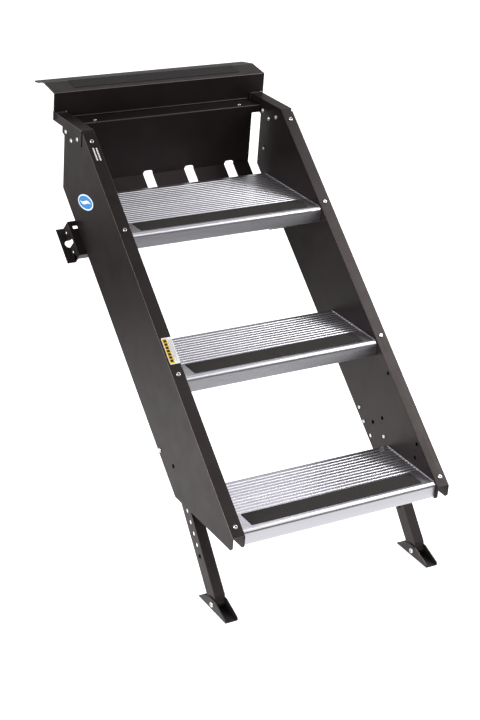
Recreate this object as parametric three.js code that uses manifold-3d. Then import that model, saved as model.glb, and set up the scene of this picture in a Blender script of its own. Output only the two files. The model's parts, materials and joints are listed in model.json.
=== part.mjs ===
// Fold-up entry step for a raised vehicle doorway: three aluminium treads between two channel
// stringers, hung on a hinge rod at the door sill, with a telescoping leg and a tilting foot each side.
// Millimetres. +X is the right-hand side, +Y points into the vehicle, +Z is up.
// The origin is the middle of the sill bracket's underside, which is screwed down on the door sill.

import * as THREE from "three";
import { mergeVertices } from "three/addons/utils/BufferGeometryUtils.js";
import Module from "manifold-3d";

const wasm = await Module();
wasm.setup();

// ---------------------------------------------------------------- driving dimensions

const GAP = 0.3; // clearance between pieces that touch
const CUT = 5; // how far a cutter reaches past the piece it cuts
const OVERLAP = 1; // how far a shank runs into its head
const ROUND_SEGMENTS = 12; // facets of a hole or a shank
const HEAD_SEGMENTS = 16; // facets of a screw head
const KNUCKLE_SEGMENTS = 20;
const HEX = 6;

// Stair: the top front edge of the first tread is the reference of the slope.
const RISE = 228.6;
const RUN = 271.8;
const TREAD_COUNT = 3;
const NOSE_Y = -412;
const NOSE_Z = -155.5;
const SLOPE = Math.atan2(RISE, RUN);
const STEP_LENGTH = Math.hypot(RISE, RUN);

// Stringers: channels of folded sheet, open to the rear and below.
const SHEET = 2.2;
const CHANNEL_INNER_X = 248.4;
const CHANNEL_OUTER_X = 278.8;
const CHANNEL_MIDDLE_X = (CHANNEL_INNER_X + CHANNEL_OUTER_X) / 2;
const CHANNEL_WIDTH = CHANNEL_OUTER_X - CHANNEL_INNER_X;
const WEB_DEPTH = 182.3; // from the front flange to the sloping rear edge
const STRINGER_TOP_Z = 20.9;
const STRINGER_REAR_Y = -114.4; // upright rear edge beside the vehicle wall
const STRINGER_BOTTOM_Z = -651;
const FLANGE_BOTTOM_Z = -619.5;
const TOE_CHAMFER = 6;
const TAIL_REAR_Y = -50; // tail that runs back over the sill
const TAIL_BOTTOM_Z = 0.5;
const TAIL_HEEL = { y: -103, z: -12.6, cornerZ: -17.2 };
const RELIEF = { y: -208.3, width: 6, depth: 36 }; // cut between top flange and front flange

// Treads: extruded boards with a rounded nose and a fluted deck.
const TREAD_HALF = 248;
const TREAD_DEPTHS = [258.3, 190.4, 190.4];
const TREAD_HEIGHT = 35.6;
const TREAD_WALL = 3;
const TREAD_SKIRT = 28;
const SKIRT_SETBACKS = [36, 0, 0]; // the first tread's skirt stands clear of the kick panel
const NOSE_RADIUS = 9;
const NOSE_RETURN = 12;
const FLUTE_PITCH = 10.9;
const FLUTE_DEPTH = 1.4;
const FLUTE_WIDTH = 4.6;
const FLUTE_FLANK = 1;
const FLUTE_START = 66;
const REAR_BAND = 9;
const DECK_CEILING = -TREAD_WALL - FLUTE_DEPTH;
const TREAD_BRACKET = { wall: 2.6, width: 26, front: 13, rear: 8, bottom: 5 };
const GRIP = { front: 14.2, rear: 60.9, half: 219.6, thickness: 0.9 };

// Threshold plate over the doorway edge.
const PLATE = 2.5;
const THRESHOLD_HALF = 283;
const THRESHOLD_FRONT_Y = -63.5;
const THRESHOLD_BOTTOM_Z = 7.5;
const THRESHOLD_EAR_Z = 5; // outboard of the notches the face reaches lower
const THRESHOLD_CORNER_Z = 68.3;
const RIDGE = { y: -5, z: 76.9 };
const RAMP_END = { y: 44, z: 68 };
const HEM = { front: 24, inner: 124, thickness: 2.2 }; // sheet folded back under the rear edge
const NOTCH = { inner: 241.5, outer: 279.6, top: 22.6, innerRadius: 7, outerRadius: 2.5 };
const PATCH = { half: 222, front: -46, rear: -7, thickness: 0.8 };

// Hinge between the sill bracket and the stair.
const HINGE = { y: 41, z: 57 };
const ROD_RADIUS = 3;
const ROD_HALF = 178;
const ROD_HEAD = { length: 3, radius: 5.5 };
const ROD_CLIP = { from: 172, to: 175, radius: 6 };
const BUSH_WALL = 1.3;
const KNUCKLE_RADIUS = 6;
const SILL_KNUCKLES = [[-170, -130], [-25, 25], [130, 170]];
const LEAF_KNUCKLES = [[-100, -60], [60, 100]];
const SILL = { half: 185, reach: 34, plate: 4, notchTop: 46 };
const SILL_SCREW_X = [-150, -50, 50, 150];
const SILL_SCREW_Y = -12;
const SILL_SCREW_POINT_Z = -20;
const LEAF = { margin: 20, frontGap: 3, overhang: 2, neck: 5 };

// Cross rail and kick panel.
const RAIL = { half: 247.9, top: 4, lip: 14, wallTop: 62 };
const PANEL_SHEET = 2;
const PANEL_Y = -114;
const PANEL_TOP_Z = 6.3;
const PANEL_BAND_Z = -11.8; // below this the panel is narrower than the stair
const PANEL_BEND_Z = -136.5;
const PANEL_LENGTH = 172; // sloping part
const PANEL_HALF = 222.9;
const PANEL_FOOT_HEIGHT = 9; // the full-width strip at its lower edge
const SLOT = { width: 25.4, top: -128, radius: 7, length: 108 };
const SLOT_X = [-167.4, -55.9, 55.9, 167.4];
const PANEL_SCREW = { x: 194.9, y: -99, point: -4 };
const STIFFENER = { wall: 3, front: -196, rear: -52, bottom: -30, chamfer: 6, heelY: -118.4, heelZ: 2.5 };

// Fasteners.
const ARM_BOLTS = [[-124.1, -5.2], [-153.7, -17.3], [-184.7, -4.6]];
const BOLT = { shank: 3, head: 5.2, height: 3.2 };
const SCREW = { shank: 2.8, head: 5.6, height: 2.8, length: 12 };
const FLANGE_SCREWS_ALONG = [-244, -14.4, 342.2, 697.5];

// Legs, lock pins and feet.
const LEG_ANGLE = THREE.MathUtils.degToRad(49.5);
const LEG = { pivotY: -902.6, pivotZ: -817.4, width: 25.4, depth: 33, wall: 2, length: 400 };
const LEG_EYE = { radius: 10.3, shoulder: 14 };
const HOLE_PITCH = 25.4;
const HOLE_RADIUS = 5.2;
const FIRST_HOLE = 105.7; // from the foot pivot
const HOLE_COUNT = 12;
const LEG_PLUG = 24; // solid end around the foot bolt
const LEG_CLOSED = 118; // above this the leg is open to the rear
const LOCK_HOLE = FIRST_HOLE + 8 * HOLE_PITCH;
const LOCK_PIN = { shank: 4.4, knob: 5.6, knobLength: 5, travel: 5 };
const GUIDE_REAR = { from: 296, to: 372, depth: 18 };
const GUIDE_FRONT = { from: 226, to: 286, depth: 20 };
const FOOT = { plate: 2.5, heelY: -845.5, toeY: -961, soleZ: -831, topZ: -805.5 };
const CHEEK = { heel: 3.5, shoulder: [33, 20.5], crest: [46, 66], toeRun: 4, toeRise: 8.5, toe: 5 };
const FOOT_BOLT = { shank: 4, head: 6.2, height: 3.5, nut: 4 };

// Latch bracket on the rear of the left stringer.
const LATCH = {
  from: -146, to: -57, sheet: 3, depth: 35.5, tab: 18.7, innerX: -252, wallX: -298, flangeX: -316.5,
};
const KEYHOLE = { along: -105, radius: 9.5, neck: [-105, -95], neckDepth: 7.5 };
const LATCH_HOLES = { along: [-130, -79], depth: 25, radius: 3.2 };
const LATCH_SLOT = { from: -134, to: -125.5, inner: -274, outer: -290 };

// Spare holes in the inner webs, [y, z].
const SPARE_HOLES = [
  [-425.6, -390], [-736.6, -440.8], [-734.8, -556.2], [-696.9, -621], [-870.7, -556.4], [-870.6, -591.4],
];
const SPARE_HOLE_RADIUS = 4.6;

// ---------------------------------------------------------------- materials

const paint = (color) => new THREE.MeshStandardMaterial({ color, roughness: 0.45, metalness: 0.25 });
const blackPaint = paint(0x2b2725);
const legPaint = paint(0x3a3634);
const footPaint = paint(0x1d1b1b);
const aluminium = new THREE.MeshStandardMaterial({ color: 0xc9c7cc, roughness: 0.35, metalness: 0.9 });
const gripTape = new THREE.MeshStandardMaterial({ color: 0x2a2828, roughness: 0.95, metalness: 0 });
const zinc = new THREE.MeshStandardMaterial({ color: 0xd4d4d4, roughness: 0.3, metalness: 0.95 });
const nylon = new THREE.MeshStandardMaterial({ color: 0x222222, roughness: 0.6, metalness: 0 });

// ---------------------------------------------------------------- geometry helpers

// Points of the side view are [y, z]; prisms of them run along X.
const SIDE_TO_WORLD = new THREE.Matrix4().set(0, 0, 1, 0, 1, 0, 0, 0, 0, 1, 0, 0, 0, 0, 0, 1);

function toSolid(geometry) {
  const bare = geometry.index ? geometry.toNonIndexed() : geometry.clone();
  bare.deleteAttribute("normal");
  bare.deleteAttribute("uv");
  const merged = mergeVertices(bare, 1e-4);
  const vertProperties = Float32Array.from(merged.attributes.position.array);
  const triVerts = Uint32Array.from(merged.index.array);
  return new wasm.Manifold(new wasm.Mesh({ numProp: 3, vertProperties, triVerts }));
}

function toGeometry(solid) {
  const { vertProperties, triVerts } = solid.getMesh();
  const geometry = new THREE.BufferGeometry();
  geometry.setAttribute("position", new THREE.BufferAttribute(vertProperties, 3));
  geometry.setIndex(new THREE.BufferAttribute(triVerts, 1));
  geometry.computeVertexNormals();
  return geometry;
}

function pathOf(points, PathClass = THREE.Shape) {
  const path = new PathClass();
  points.forEach(([y, z], i) => (i ? path.lineTo(y, z) : path.moveTo(y, z)));
  path.closePath();
  return path;
}

function prism(shape, x0, x1) {
  const depth = Math.abs(x1 - x0);
  const geometry = new THREE.ExtrudeGeometry(shape, { depth, bevelEnabled: false, curveSegments: 8 });
  geometry.applyMatrix4(SIDE_TO_WORLD);
  geometry.translate(Math.min(x0, x1), 0, 0);
  return toSolid(geometry);
}

const prismOf = (points, x0, x1) => prism(pathOf(points), x0, x1);

// Solid of an upright [x, z] outline, run from y0 to y1.
function throughY(shape, y0, y1) {
  const options = { depth: y1 - y0, bevelEnabled: false, curveSegments: 4 };
  const geometry = new THREE.ExtrudeGeometry(shape, options);
  geometry.rotateX(Math.PI / 2);
  geometry.translate(0, y1, 0);
  return toSolid(geometry);
}

function box(x0, x1, y0, y1, z0, z1) {
  const geometry = new THREE.BoxGeometry(Math.abs(x1 - x0), Math.abs(y1 - y0), Math.abs(z1 - z0));
  geometry.translate((x0 + x1) / 2, (y0 + y1) / 2, (z0 + z1) / 2);
  return toSolid(geometry);
}

// Round bar between two points.
function bar(start, end, radius, segments = ROUND_SEGMENTS) {
  const from = new THREE.Vector3(...start);
  const axis = new THREE.Vector3(...end).sub(from);
  const geometry = new THREE.CylinderGeometry(radius, radius, axis.length(), segments);
  geometry.translate(0, axis.length() / 2, 0);
  geometry.applyQuaternion(
    new THREE.Quaternion().setFromUnitVectors(new THREE.Vector3(0, 1, 0), axis.clone().normalize()),
  );
  geometry.translate(from.x, from.y, from.z);
  return toSolid(geometry);
}

const barX = ([y, z], x0, x1, radius, segments) => bar([x0, y, z], [x1, y, z], radius, segments);

// Bar to cut a hole right across one side of the stair.
function crossHole(at, sign, radius) {
  return barX(at, sign * (CHANNEL_INNER_X - CUT), sign * (CHANNEL_OUTER_X + CUT), radius);
}

// Point of the side view at a distance along the slope from the first nose and behind the front flange.
function onSlope(along, behind = 0) {
  const y = NOSE_Y - along * Math.cos(SLOPE) + behind * Math.sin(SLOPE);
  const z = NOSE_Z - along * Math.sin(SLOPE) - behind * Math.cos(SLOPE);
  return [y, z];
}

// Where a line parallel to the slope, some way behind the front flange, is at a given height.
function slopeYAt(z, behind = 0) {
  const [y0, z0] = onSlope(0, behind);
  return y0 + (z - z0) / Math.tan(SLOPE);
}

// Point of the side view at a distance up the leg from its foot pivot and to the front of its middle.
function onLeg(up, forward = 0) {
  const y = LEG.pivotY + up * Math.cos(LEG_ANGLE) - forward * Math.sin(LEG_ANGLE);
  const z = LEG.pivotZ + up * Math.sin(LEG_ANGLE) + forward * Math.cos(LEG_ANGLE);
  return [y, z];
}

// ---------------------------------------------------------------- the assembly

const assembly = new THREE.Group();

function addPart(name, solid, material) {
  const mesh = new THREE.Mesh(toGeometry(solid), material);
  mesh.name = name;
  assembly.add(mesh);
}

const SIDES = [["left", -1], ["right", 1]];

// ---------------------------------------------------------------- sill bracket and hinge

function sillBracket() {
  const { half, reach, plate, notchTop } = SILL;
  const foot = box(-half, half, -reach, reach, 0, plate);
  const wall = box(-half, half, reach - plate, reach, 0, notchTop);
  let bracket = foot.add(wall);
  for (const [x0, x1] of SILL_KNUCKLES) {
    const neck = box(x0, x1, reach - plate, HINGE.y, notchTop - plate, HINGE.z);
    bracket = bracket.add(neck).add(barX([HINGE.y, HINGE.z], x0, x1, KNUCKLE_RADIUS, KNUCKLE_SEGMENTS));
  }
  bracket = bracket.subtract(barX([HINGE.y, HINGE.z], -half, half, ROD_RADIUS + GAP));
  for (const x of SILL_SCREW_X) {
    const hole = bar([x, SILL_SCREW_Y, -CUT], [x, SILL_SCREW_Y, plate + CUT], SCREW.shank + GAP);
    bracket = bracket.subtract(hole);
  }
  return bracket;
}

function sillScrew(x) {
  const top = SILL.plate + GAP;
  const head = bar([x, SILL_SCREW_Y, top], [x, SILL_SCREW_Y, top + SCREW.height], SCREW.head, HEAD_SEGMENTS);
  return head.add(bar([x, SILL_SCREW_Y, SILL_SCREW_POINT_Z], [x, SILL_SCREW_Y, top + OVERLAP], SCREW.shank));
}

function hingeRod() {
  const axis = [HINGE.y, HINGE.z];
  const head = barX(axis, -ROD_HALF - ROD_HEAD.length, -ROD_HALF, ROD_HEAD.radius);
  return barX(axis, -ROD_HALF - OVERLAP, ROD_HALF, ROD_RADIUS).add(head);
}

function hingeRodClip() {
  const axis = [HINGE.y, HINGE.z];
  const { from, to, radius } = ROD_CLIP;
  return barX(axis, from, to, radius).subtract(barX(axis, from - CUT, to + CUT, ROD_RADIUS + GAP));
}

function hingeLeaf() {
  const outer = ROD_RADIUS + 2 * GAP + BUSH_WALL;
  const under = (y) => rampZ(y) - PLATE - GAP;
  const y0 = RIDGE.y + LEAF.frontGap;
  const y1 = HINGE.y + LEAF.overhang;
  const wing = [[y0, under(y0)], [y0, under(y0) - PLATE], [y1, under(y1) - PLATE], [y1, under(y1)]];
  let leaf = prismOf(wing, LEAF_KNUCKLES[0][0] - LEAF.margin, LEAF_KNUCKLES[1][1] + LEAF.margin);
  for (const [x0, x1] of LEAF_KNUCKLES) {
    const neck = box(x0, x1, HINGE.y - LEAF.neck, y1, HINGE.z, under(y1) - PLATE / 2);
    leaf = leaf.add(neck).add(barX([HINGE.y, HINGE.z], x0, x1, KNUCKLE_RADIUS, KNUCKLE_SEGMENTS));
    leaf = leaf.subtract(barX([HINGE.y, HINGE.z], x0 - CUT, x1 + CUT, outer));
  }
  return leaf;
}

function hingeBush([x0, x1]) {
  const axis = [HINGE.y, HINGE.z];
  const inner = ROD_RADIUS + GAP;
  return barX(axis, x0, x1, inner + BUSH_WALL).subtract(barX(axis, x0 - CUT, x1 + CUT, inner));
}

// ---------------------------------------------------------------- threshold plate and cross rail

// Height of the threshold's upper face over its sloping rear part.
function rampZ(y) {
  return RIDGE.z + ((RAMP_END.z - RIDGE.z) * (y - RIDGE.y)) / (RAMP_END.y - RIDGE.y);
}

// Height of its upper face between the front corner and the ridge.
function roofZ(y) {
  const share = (y - THRESHOLD_FRONT_Y) / (RIDGE.y - THRESHOLD_FRONT_Y);
  return THRESHOLD_CORNER_Z + (RIDGE.z - THRESHOLD_CORNER_Z) * share;
}

function thresholdPlate() {
  const front = THRESHOLD_FRONT_Y;
  const bottom = THRESHOLD_EAR_Z;
  const section = [
    [front, bottom], [front, THRESHOLD_CORNER_Z], [RIDGE.y, RIDGE.z], [RAMP_END.y, RAMP_END.z],
    [RAMP_END.y, RAMP_END.z - PLATE], [RIDGE.y, RIDGE.z - PLATE],
    [front + PLATE, THRESHOLD_CORNER_Z - PLATE], [front + PLATE, bottom],
  ];
  let plate = prismOf(section, -THRESHOLD_HALF, THRESHOLD_HALF);
  for (const [, sign] of SIDES) plate = plate.add(thresholdHem(sign));
  const middleHalf = NOTCH.inner + PLATE;
  const middle = box(-middleHalf, middleHalf, front - CUT, front + PLATE + CUT, 0, THRESHOLD_BOTTOM_Z);
  plate = plate.subtract(middle);
  for (const [, sign] of SIDES) plate = plate.subtract(thresholdNotch(sign));
  return plate;
}

// Second thickness under the rear edge, beside the hinge leaf.
function thresholdHem(sign) {
  const ends = [HEM.front, RAMP_END.y];
  const upper = ends.map((y) => [y, rampZ(y) - PLATE / 2]);
  const lower = ends.map((y) => [y, rampZ(y) - PLATE - HEM.thickness]).reverse();
  return prismOf([...upper, ...lower], sign * HEM.inner, sign * THRESHOLD_HALF);
}

// Round-cornered cut-out in the front face through which a stringer tail passes.
function thresholdNotch(sign) {
  const { inner, outer, top, innerRadius, outerRadius } = NOTCH;
  const shape = new THREE.Shape();
  shape.moveTo(inner, -CUT);
  shape.lineTo(outer, -CUT);
  shape.lineTo(outer, top - outerRadius);
  shape.absarc(outer - outerRadius, top - outerRadius, outerRadius, 0, Math.PI / 2, false);
  shape.absarc(inner + innerRadius, top - innerRadius, innerRadius, Math.PI / 2, Math.PI, false);
  shape.closePath();
  const notch = throughY(shape, THRESHOLD_FRONT_Y - CUT, THRESHOLD_FRONT_Y + CUT);
  return sign > 0 ? notch : notch.mirror([1, 0, 0]);
}

function thresholdGrip() {
  const { half, front, rear, thickness } = PATCH;
  const lift = (y, extra) => [y, roofZ(y) + GAP + extra];
  const section = [lift(front, 0), lift(rear, 0), lift(rear, thickness), lift(front, thickness)];
  return prismOf(section, -half, half);
}

function crossRail() {
  const { half, top, lip, wallTop } = RAIL;
  const front = PANEL_Y + PANEL_SHEET + GAP;
  const wall = THRESHOLD_FRONT_Y + PLATE + GAP;
  const section = [
    [front, top], [wall, top], [wall, wallTop], [wall + PLATE, wallTop], [wall + PLATE, top - PLATE],
    [front + PLATE, top - PLATE], [front + PLATE, top - lip], [front, top - lip],
  ];
  let rail = prismOf(section, -half, half);
  for (const [, sign] of SIDES) {
    const { x, y } = PANEL_SCREW;
    rail = rail.subtract(bar([sign * x, y, top - CUT], [sign * x, y, top + CUT], SCREW.shank + GAP));
  }
  return rail;
}

// ---------------------------------------------------------------- stringers

function stringerOutline() {
  const [topFront, flangeEnd] = [slopeYAt(STRINGER_TOP_Z), slopeYAt(FLANGE_BOTTOM_Z)];
  const bendZ = NOSE_Z + (STRINGER_REAR_Y - slopeYAt(NOSE_Z, WEB_DEPTH)) * Math.tan(SLOPE);
  return [
    [TAIL_REAR_Y, STRINGER_TOP_Z], [topFront, STRINGER_TOP_Z], [flangeEnd, FLANGE_BOTTOM_Z],
    [flangeEnd, STRINGER_BOTTOM_Z + TOE_CHAMFER], [flangeEnd + TOE_CHAMFER, STRINGER_BOTTOM_Z],
    [slopeYAt(STRINGER_BOTTOM_Z, WEB_DEPTH), STRINGER_BOTTOM_Z], [STRINGER_REAR_Y, bendZ],
    [STRINGER_REAR_Y, TAIL_HEEL.cornerZ], [TAIL_HEEL.y, TAIL_HEEL.z],
    [TAIL_HEEL.y, TAIL_BOTTOM_Z], [TAIL_REAR_Y, TAIL_BOTTOM_Z],
  ];
}

// Space between the two webs: everything behind the front flange and below the top flange.
function channelHollow(sign) {
  const ceiling = STRINGER_TOP_Z - SHEET;
  const floor = STRINGER_BOTTOM_Z - CUT;
  const front = slopeYAt(FLANGE_BOTTOM_Z) - CUT;
  return prismOf([
    [0, ceiling], [slopeYAt(ceiling, SHEET), ceiling], [slopeYAt(FLANGE_BOTTOM_Z, SHEET), FLANGE_BOTTOM_Z],
    [front, FLANGE_BOTTOM_Z], [front, floor], [0, floor],
  ], sign * (CHANNEL_INNER_X + SHEET), sign * (CHANNEL_OUTER_X - SHEET));
}

function stringer(sign) {
  const [inner, outer] = [sign * CHANNEL_INNER_X, sign * CHANNEL_OUTER_X];
  const innerFace = [inner - sign, inner + sign * (SHEET + 1)];
  const outerFace = [outer - sign * (SHEET + 1), outer + sign];
  const [pinFace, plainFace] = sign > 0 ? [outerFace, innerFace] : [innerFace, outerFace];
  let body = prismOf(stringerOutline(), inner, outer).subtract(channelHollow(sign));
  for (const at of ARM_BOLTS) body = body.subtract(crossHole(at, sign, BOLT.shank + GAP));
  for (const at of SPARE_HOLES) body = body.subtract(barX(at, ...innerFace, SPARE_HOLE_RADIUS));
  for (const along of FLANGE_SCREWS_ALONG) {
    const [hole0, hole1] = [onSlope(along, -CUT), onSlope(along, SHEET + CUT)];
    const x = sign * CHANNEL_MIDDLE_X;
    body = body.subtract(bar([x, ...hole0], [x, ...hole1], SCREW.shank + GAP));
  }
  body = body.subtract(barX(onLeg(LOCK_HOLE), ...pinFace, LOCK_PIN.shank + GAP));
  body = body.subtract(barX(onLeg(LOCK_HOLE), ...plainFace, HOLE_RADIUS));
  const reliefTop = STRINGER_TOP_Z - SHEET;
  const cut = box(...outerFace, RELIEF.y, RELIEF.y + RELIEF.width, reliefTop - RELIEF.depth, reliefTop);
  return body.subtract(cut);
}

// Folded stiffener inside the top of a stringer, clamped by the arm bolts.
function armStiffener(sign) {
  const { wall, front, rear, bottom, chamfer, heelY, heelZ } = STIFFENER;
  const [x0, x1] = [sign * (CHANNEL_INNER_X + SHEET + GAP), sign * (CHANNEL_OUTER_X - SHEET - GAP)];
  const top = STRINGER_TOP_Z - SHEET - GAP;
  const nose = front - chamfer;
  const outline = [
    [rear, top], [front, top], [nose, top - chamfer], [front, bottom],
    [heelY, bottom], [heelY, heelZ], [rear, heelZ],
  ];
  const hollow = box(x0 + sign * wall, x1 - sign * wall, nose - CUT, rear + CUT, bottom - CUT, top - wall);
  let stiffener = prismOf(outline, x0, x1).subtract(hollow);
  for (const at of ARM_BOLTS) stiffener = stiffener.subtract(crossHole(at, sign, BOLT.shank + GAP));
  return stiffener;
}

function armBolt(at, sign) {
  const innerSeat = sign * (CHANNEL_INNER_X - GAP);
  const outerSeat = sign * (CHANNEL_OUTER_X + GAP);
  const shank = barX(at, innerSeat - sign * OVERLAP, outerSeat + sign * OVERLAP, BOLT.shank);
  const nut = barX(at, innerSeat - sign * BOLT.height, innerSeat, BOLT.head, HEAD_SEGMENTS);
  const head = barX(at, outerSeat, outerSeat + sign * BOLT.height, BOLT.head, HEAD_SEGMENTS);
  return shank.add(nut).add(head);
}

// Pan head screw through the front flange.
function flangeScrew(along, sign) {
  const x = sign * CHANNEL_MIDDLE_X;
  const point = (behind) => [x, ...onSlope(along, behind)];
  const head = bar(point(-GAP), point(-GAP - SCREW.height), SCREW.head, HEAD_SEGMENTS);
  return head.add(bar(point(-GAP - OVERLAP), point(SCREW.length), SCREW.shank));
}

// ---------------------------------------------------------------- kick panel

function kickPanel() {
  const back = PANEL_Y + PANEL_SHEET;
  const flangeRear = THRESHOLD_FRONT_Y - GAP;
  const endY = PANEL_Y - PANEL_LENGTH * Math.cos(SLOPE);
  const endZ = PANEL_BEND_Z - PANEL_LENGTH * Math.sin(SLOPE);
  const mitre = PANEL_SHEET * Math.tan(Math.PI / 4 - SLOPE / 2);
  const section = [
    [PANEL_Y, PANEL_TOP_Z], [PANEL_Y, PANEL_BEND_Z], [endY, endZ],
    [endY + PANEL_SHEET * Math.sin(SLOPE), endZ - PANEL_SHEET * Math.cos(SLOPE)],
    [back, PANEL_BEND_Z - mitre], [back, PANEL_TOP_Z - PANEL_SHEET],
    [flangeRear, PANEL_TOP_Z - PANEL_SHEET], [flangeRear, PANEL_TOP_Z],
  ];
  let panel = prismOf(section, -RAIL.half, RAIL.half);
  const footTop = endZ + PANEL_FOOT_HEIGHT;
  for (const [, sign] of SIDES) {
    const side = [sign * PANEL_HALF, sign * (RAIL.half + CUT)];
    panel = panel.subtract(box(...side, endY - CUT, back + CUT, footTop, PANEL_BAND_Z));
    const { x, y } = PANEL_SCREW;
    const [below, above] = [PANEL_TOP_Z - CUT, PANEL_TOP_Z + CUT];
    panel = panel.subtract(bar([sign * x, y, below], [sign * x, y, above], SCREW.shank + GAP));
  }
  for (const x of SLOT_X) panel = panel.subtract(panelSlot(x));
  return panel;
}

// A slot starts just above the bend and runs down the sloping part of the panel.
function panelSlot(x) {
  const { width, top, radius, length } = SLOT;
  const half = width / 2;
  const shape = new THREE.Shape();
  shape.moveTo(-half, top - length);
  shape.lineTo(half, top - length);
  shape.lineTo(half, top - radius);
  shape.absarc(half - radius, top - radius, radius, 0, Math.PI / 2, false);
  shape.absarc(radius - half, top - radius, radius, Math.PI / 2, Math.PI, false);
  shape.closePath();
  return throughY(shape, PANEL_Y - PANEL_LENGTH, PANEL_Y + PANEL_SHEET + CUT).translate([x, 0, 0]);
}

function panelScrew(sign) {
  const { x, y } = PANEL_SCREW;
  const seat = PANEL_TOP_Z + GAP;
  const head = bar([sign * x, y, seat], [sign * x, y, seat + SCREW.height], SCREW.head, HEAD_SEGMENTS);
  return head.add(bar([sign * x, y, PANEL_SCREW.point], [sign * x, y, seat + OVERLAP], SCREW.shank));
}

// ---------------------------------------------------------------- treads

// Section of a tread, with its top front edge at [0, 0]: deck, rounded nose, lip and rear skirt.
function treadSection(depth, setback) {
  const shape = new THREE.Shape();
  shape.moveTo(depth, 0);
  const flutes = Math.floor((depth - REAR_BAND - FLUTE_START) / FLUTE_PITCH);
  for (let i = flutes; i >= 0; i -= 1) {
    const rear = FLUTE_START + i * FLUTE_PITCH + FLUTE_WIDTH;
    shape.lineTo(rear, 0);
    shape.lineTo(rear - FLUTE_FLANK, -FLUTE_DEPTH);
    shape.lineTo(rear - FLUTE_WIDTH + FLUTE_FLANK, -FLUTE_DEPTH);
    shape.lineTo(rear - FLUTE_WIDTH, 0);
  }
  shape.lineTo(NOSE_RADIUS, 0);
  shape.absarc(NOSE_RADIUS, -NOSE_RADIUS, NOSE_RADIUS, Math.PI / 2, Math.PI, false);
  shape.lineTo(0, -TREAD_HEIGHT);
  shape.lineTo(NOSE_RETURN, -TREAD_HEIGHT);
  shape.lineTo(NOSE_RETURN, -TREAD_HEIGHT + TREAD_WALL);
  shape.lineTo(TREAD_WALL, -TREAD_HEIGHT + TREAD_WALL);
  shape.lineTo(TREAD_WALL, -NOSE_RADIUS);
  shape.lineTo(NOSE_RADIUS - FLUTE_DEPTH, DECK_CEILING);
  const skirtRear = depth - setback;
  shape.lineTo(skirtRear - TREAD_WALL, DECK_CEILING);
  shape.lineTo(skirtRear - TREAD_WALL, -TREAD_SKIRT);
  shape.lineTo(skirtRear, -TREAD_SKIRT);
  if (setback > 0) {
    shape.lineTo(skirtRear, DECK_CEILING);
    shape.lineTo(depth, DECK_CEILING);
  }
  shape.closePath();
  return shape;
}

const noseOf = (index) => [NOSE_Y - index * RUN, NOSE_Z - index * RISE];

function tread(index) {
  const [y, z] = noseOf(index);
  const section = treadSection(TREAD_DEPTHS[index], SKIRT_SETBACKS[index]);
  return prism(section, -TREAD_HALF, TREAD_HALF).translate([0, y, z]);
}

function gripStrip(index) {
  const [y, z] = noseOf(index);
  const { front, rear, half, thickness } = GRIP;
  return box(-half, half, y + front, y + rear, z + GAP, z + GAP + thickness);
}

// Angle under each end of a tread: one leg along the stringer web, one under the deck.
function treadBracket(index, sign) {
  const [y, z] = noseOf(index);
  const { wall, width, front, rear, bottom } = TREAD_BRACKET;
  const [y0, y1] = [y + front, y + TREAD_DEPTHS[index] - SKIRT_SETBACKS[index] - rear];
  const top = z + DECK_CEILING - GAP;
  const edge = sign * (CHANNEL_INNER_X - GAP);
  const upright = box(edge, edge - sign * wall, y0, y1, z - TREAD_HEIGHT + bottom, top);
  return upright.add(box(edge, edge - sign * width, y0, y1, top - wall, top));
}

// ---------------------------------------------------------------- latch bracket

// Side view point of the bracket; depth is measured rearward from the stringer's rear edge.
const latchPoint = (along, depth) => onSlope(along, WEB_DEPTH + GAP + depth);

function slopeBox(x0, x1, along0, along1, depth0, depth1) {
  const points = [
    latchPoint(along0, depth0), latchPoint(along1, depth0),
    latchPoint(along1, depth1), latchPoint(along0, depth1),
  ];
  return prismOf(points, x0, x1);
}

function latchBracket() {
  const { from, to, sheet, innerX, wallX, flangeX, depth, tab } = LATCH;
  const face = slopeBox(wallX, innerX, from, to, 0, sheet);
  const wall = slopeBox(wallX, wallX + sheet, from, to, 0, depth);
  const flange = slopeBox(flangeX, wallX + sheet, from, to, depth - sheet, depth);
  const foot = slopeBox(wallX, innerX, to - sheet, to, 0, tab);
  const { outer, inner, from: slotFrom, to: slotTo } = LATCH_SLOT;
  const bracket = face.add(wall).add(flange).add(foot).subtract(keyhole())
    .subtract(slopeBox(outer, inner, slotFrom, slotTo, -CUT, sheet + CUT));
  return LATCH_HOLES.along.reduce((rest, along) => {
    const hole = barX(latchPoint(along, LATCH_HOLES.depth), wallX - CUT, wallX + CUT, LATCH_HOLES.radius);
    return rest.subtract(hole);
  }, bracket);
}

// Hole for the hook of the travel latch: round in the flange, tapering across the wall.
function keyhole() {
  const { wallX, sheet, depth } = LATCH;
  const { along, radius, neck, neckDepth } = KEYHOLE;
  const start = latchPoint(along, depth - sheet - CUT);
  const round = bar([wallX, ...start], [wallX, ...latchPoint(along, depth + CUT)], radius, HEAD_SEGMENTS);
  const taper = [
    latchPoint(neck[0], neckDepth), latchPoint(neck[1], neckDepth),
    latchPoint(along + radius, depth + CUT), latchPoint(along - radius, depth + CUT),
  ];
  return prismOf(taper, wallX - 1, wallX + CUT).add(round);
}

// ---------------------------------------------------------------- legs, lock pins and feet

const LEG_INNER_X = CHANNEL_MIDDLE_X - LEG.width / 2;
const LEG_OUTER_X = CHANNEL_MIDDLE_X + LEG.width / 2;

function legBlock(x0, x1, up0, up1, forward0, forward1) {
  const points = [onLeg(up0, forward0), onLeg(up0, forward1), onLeg(up1, forward1), onLeg(up1, forward0)];
  return prismOf(points, x0, x1);
}

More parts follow.
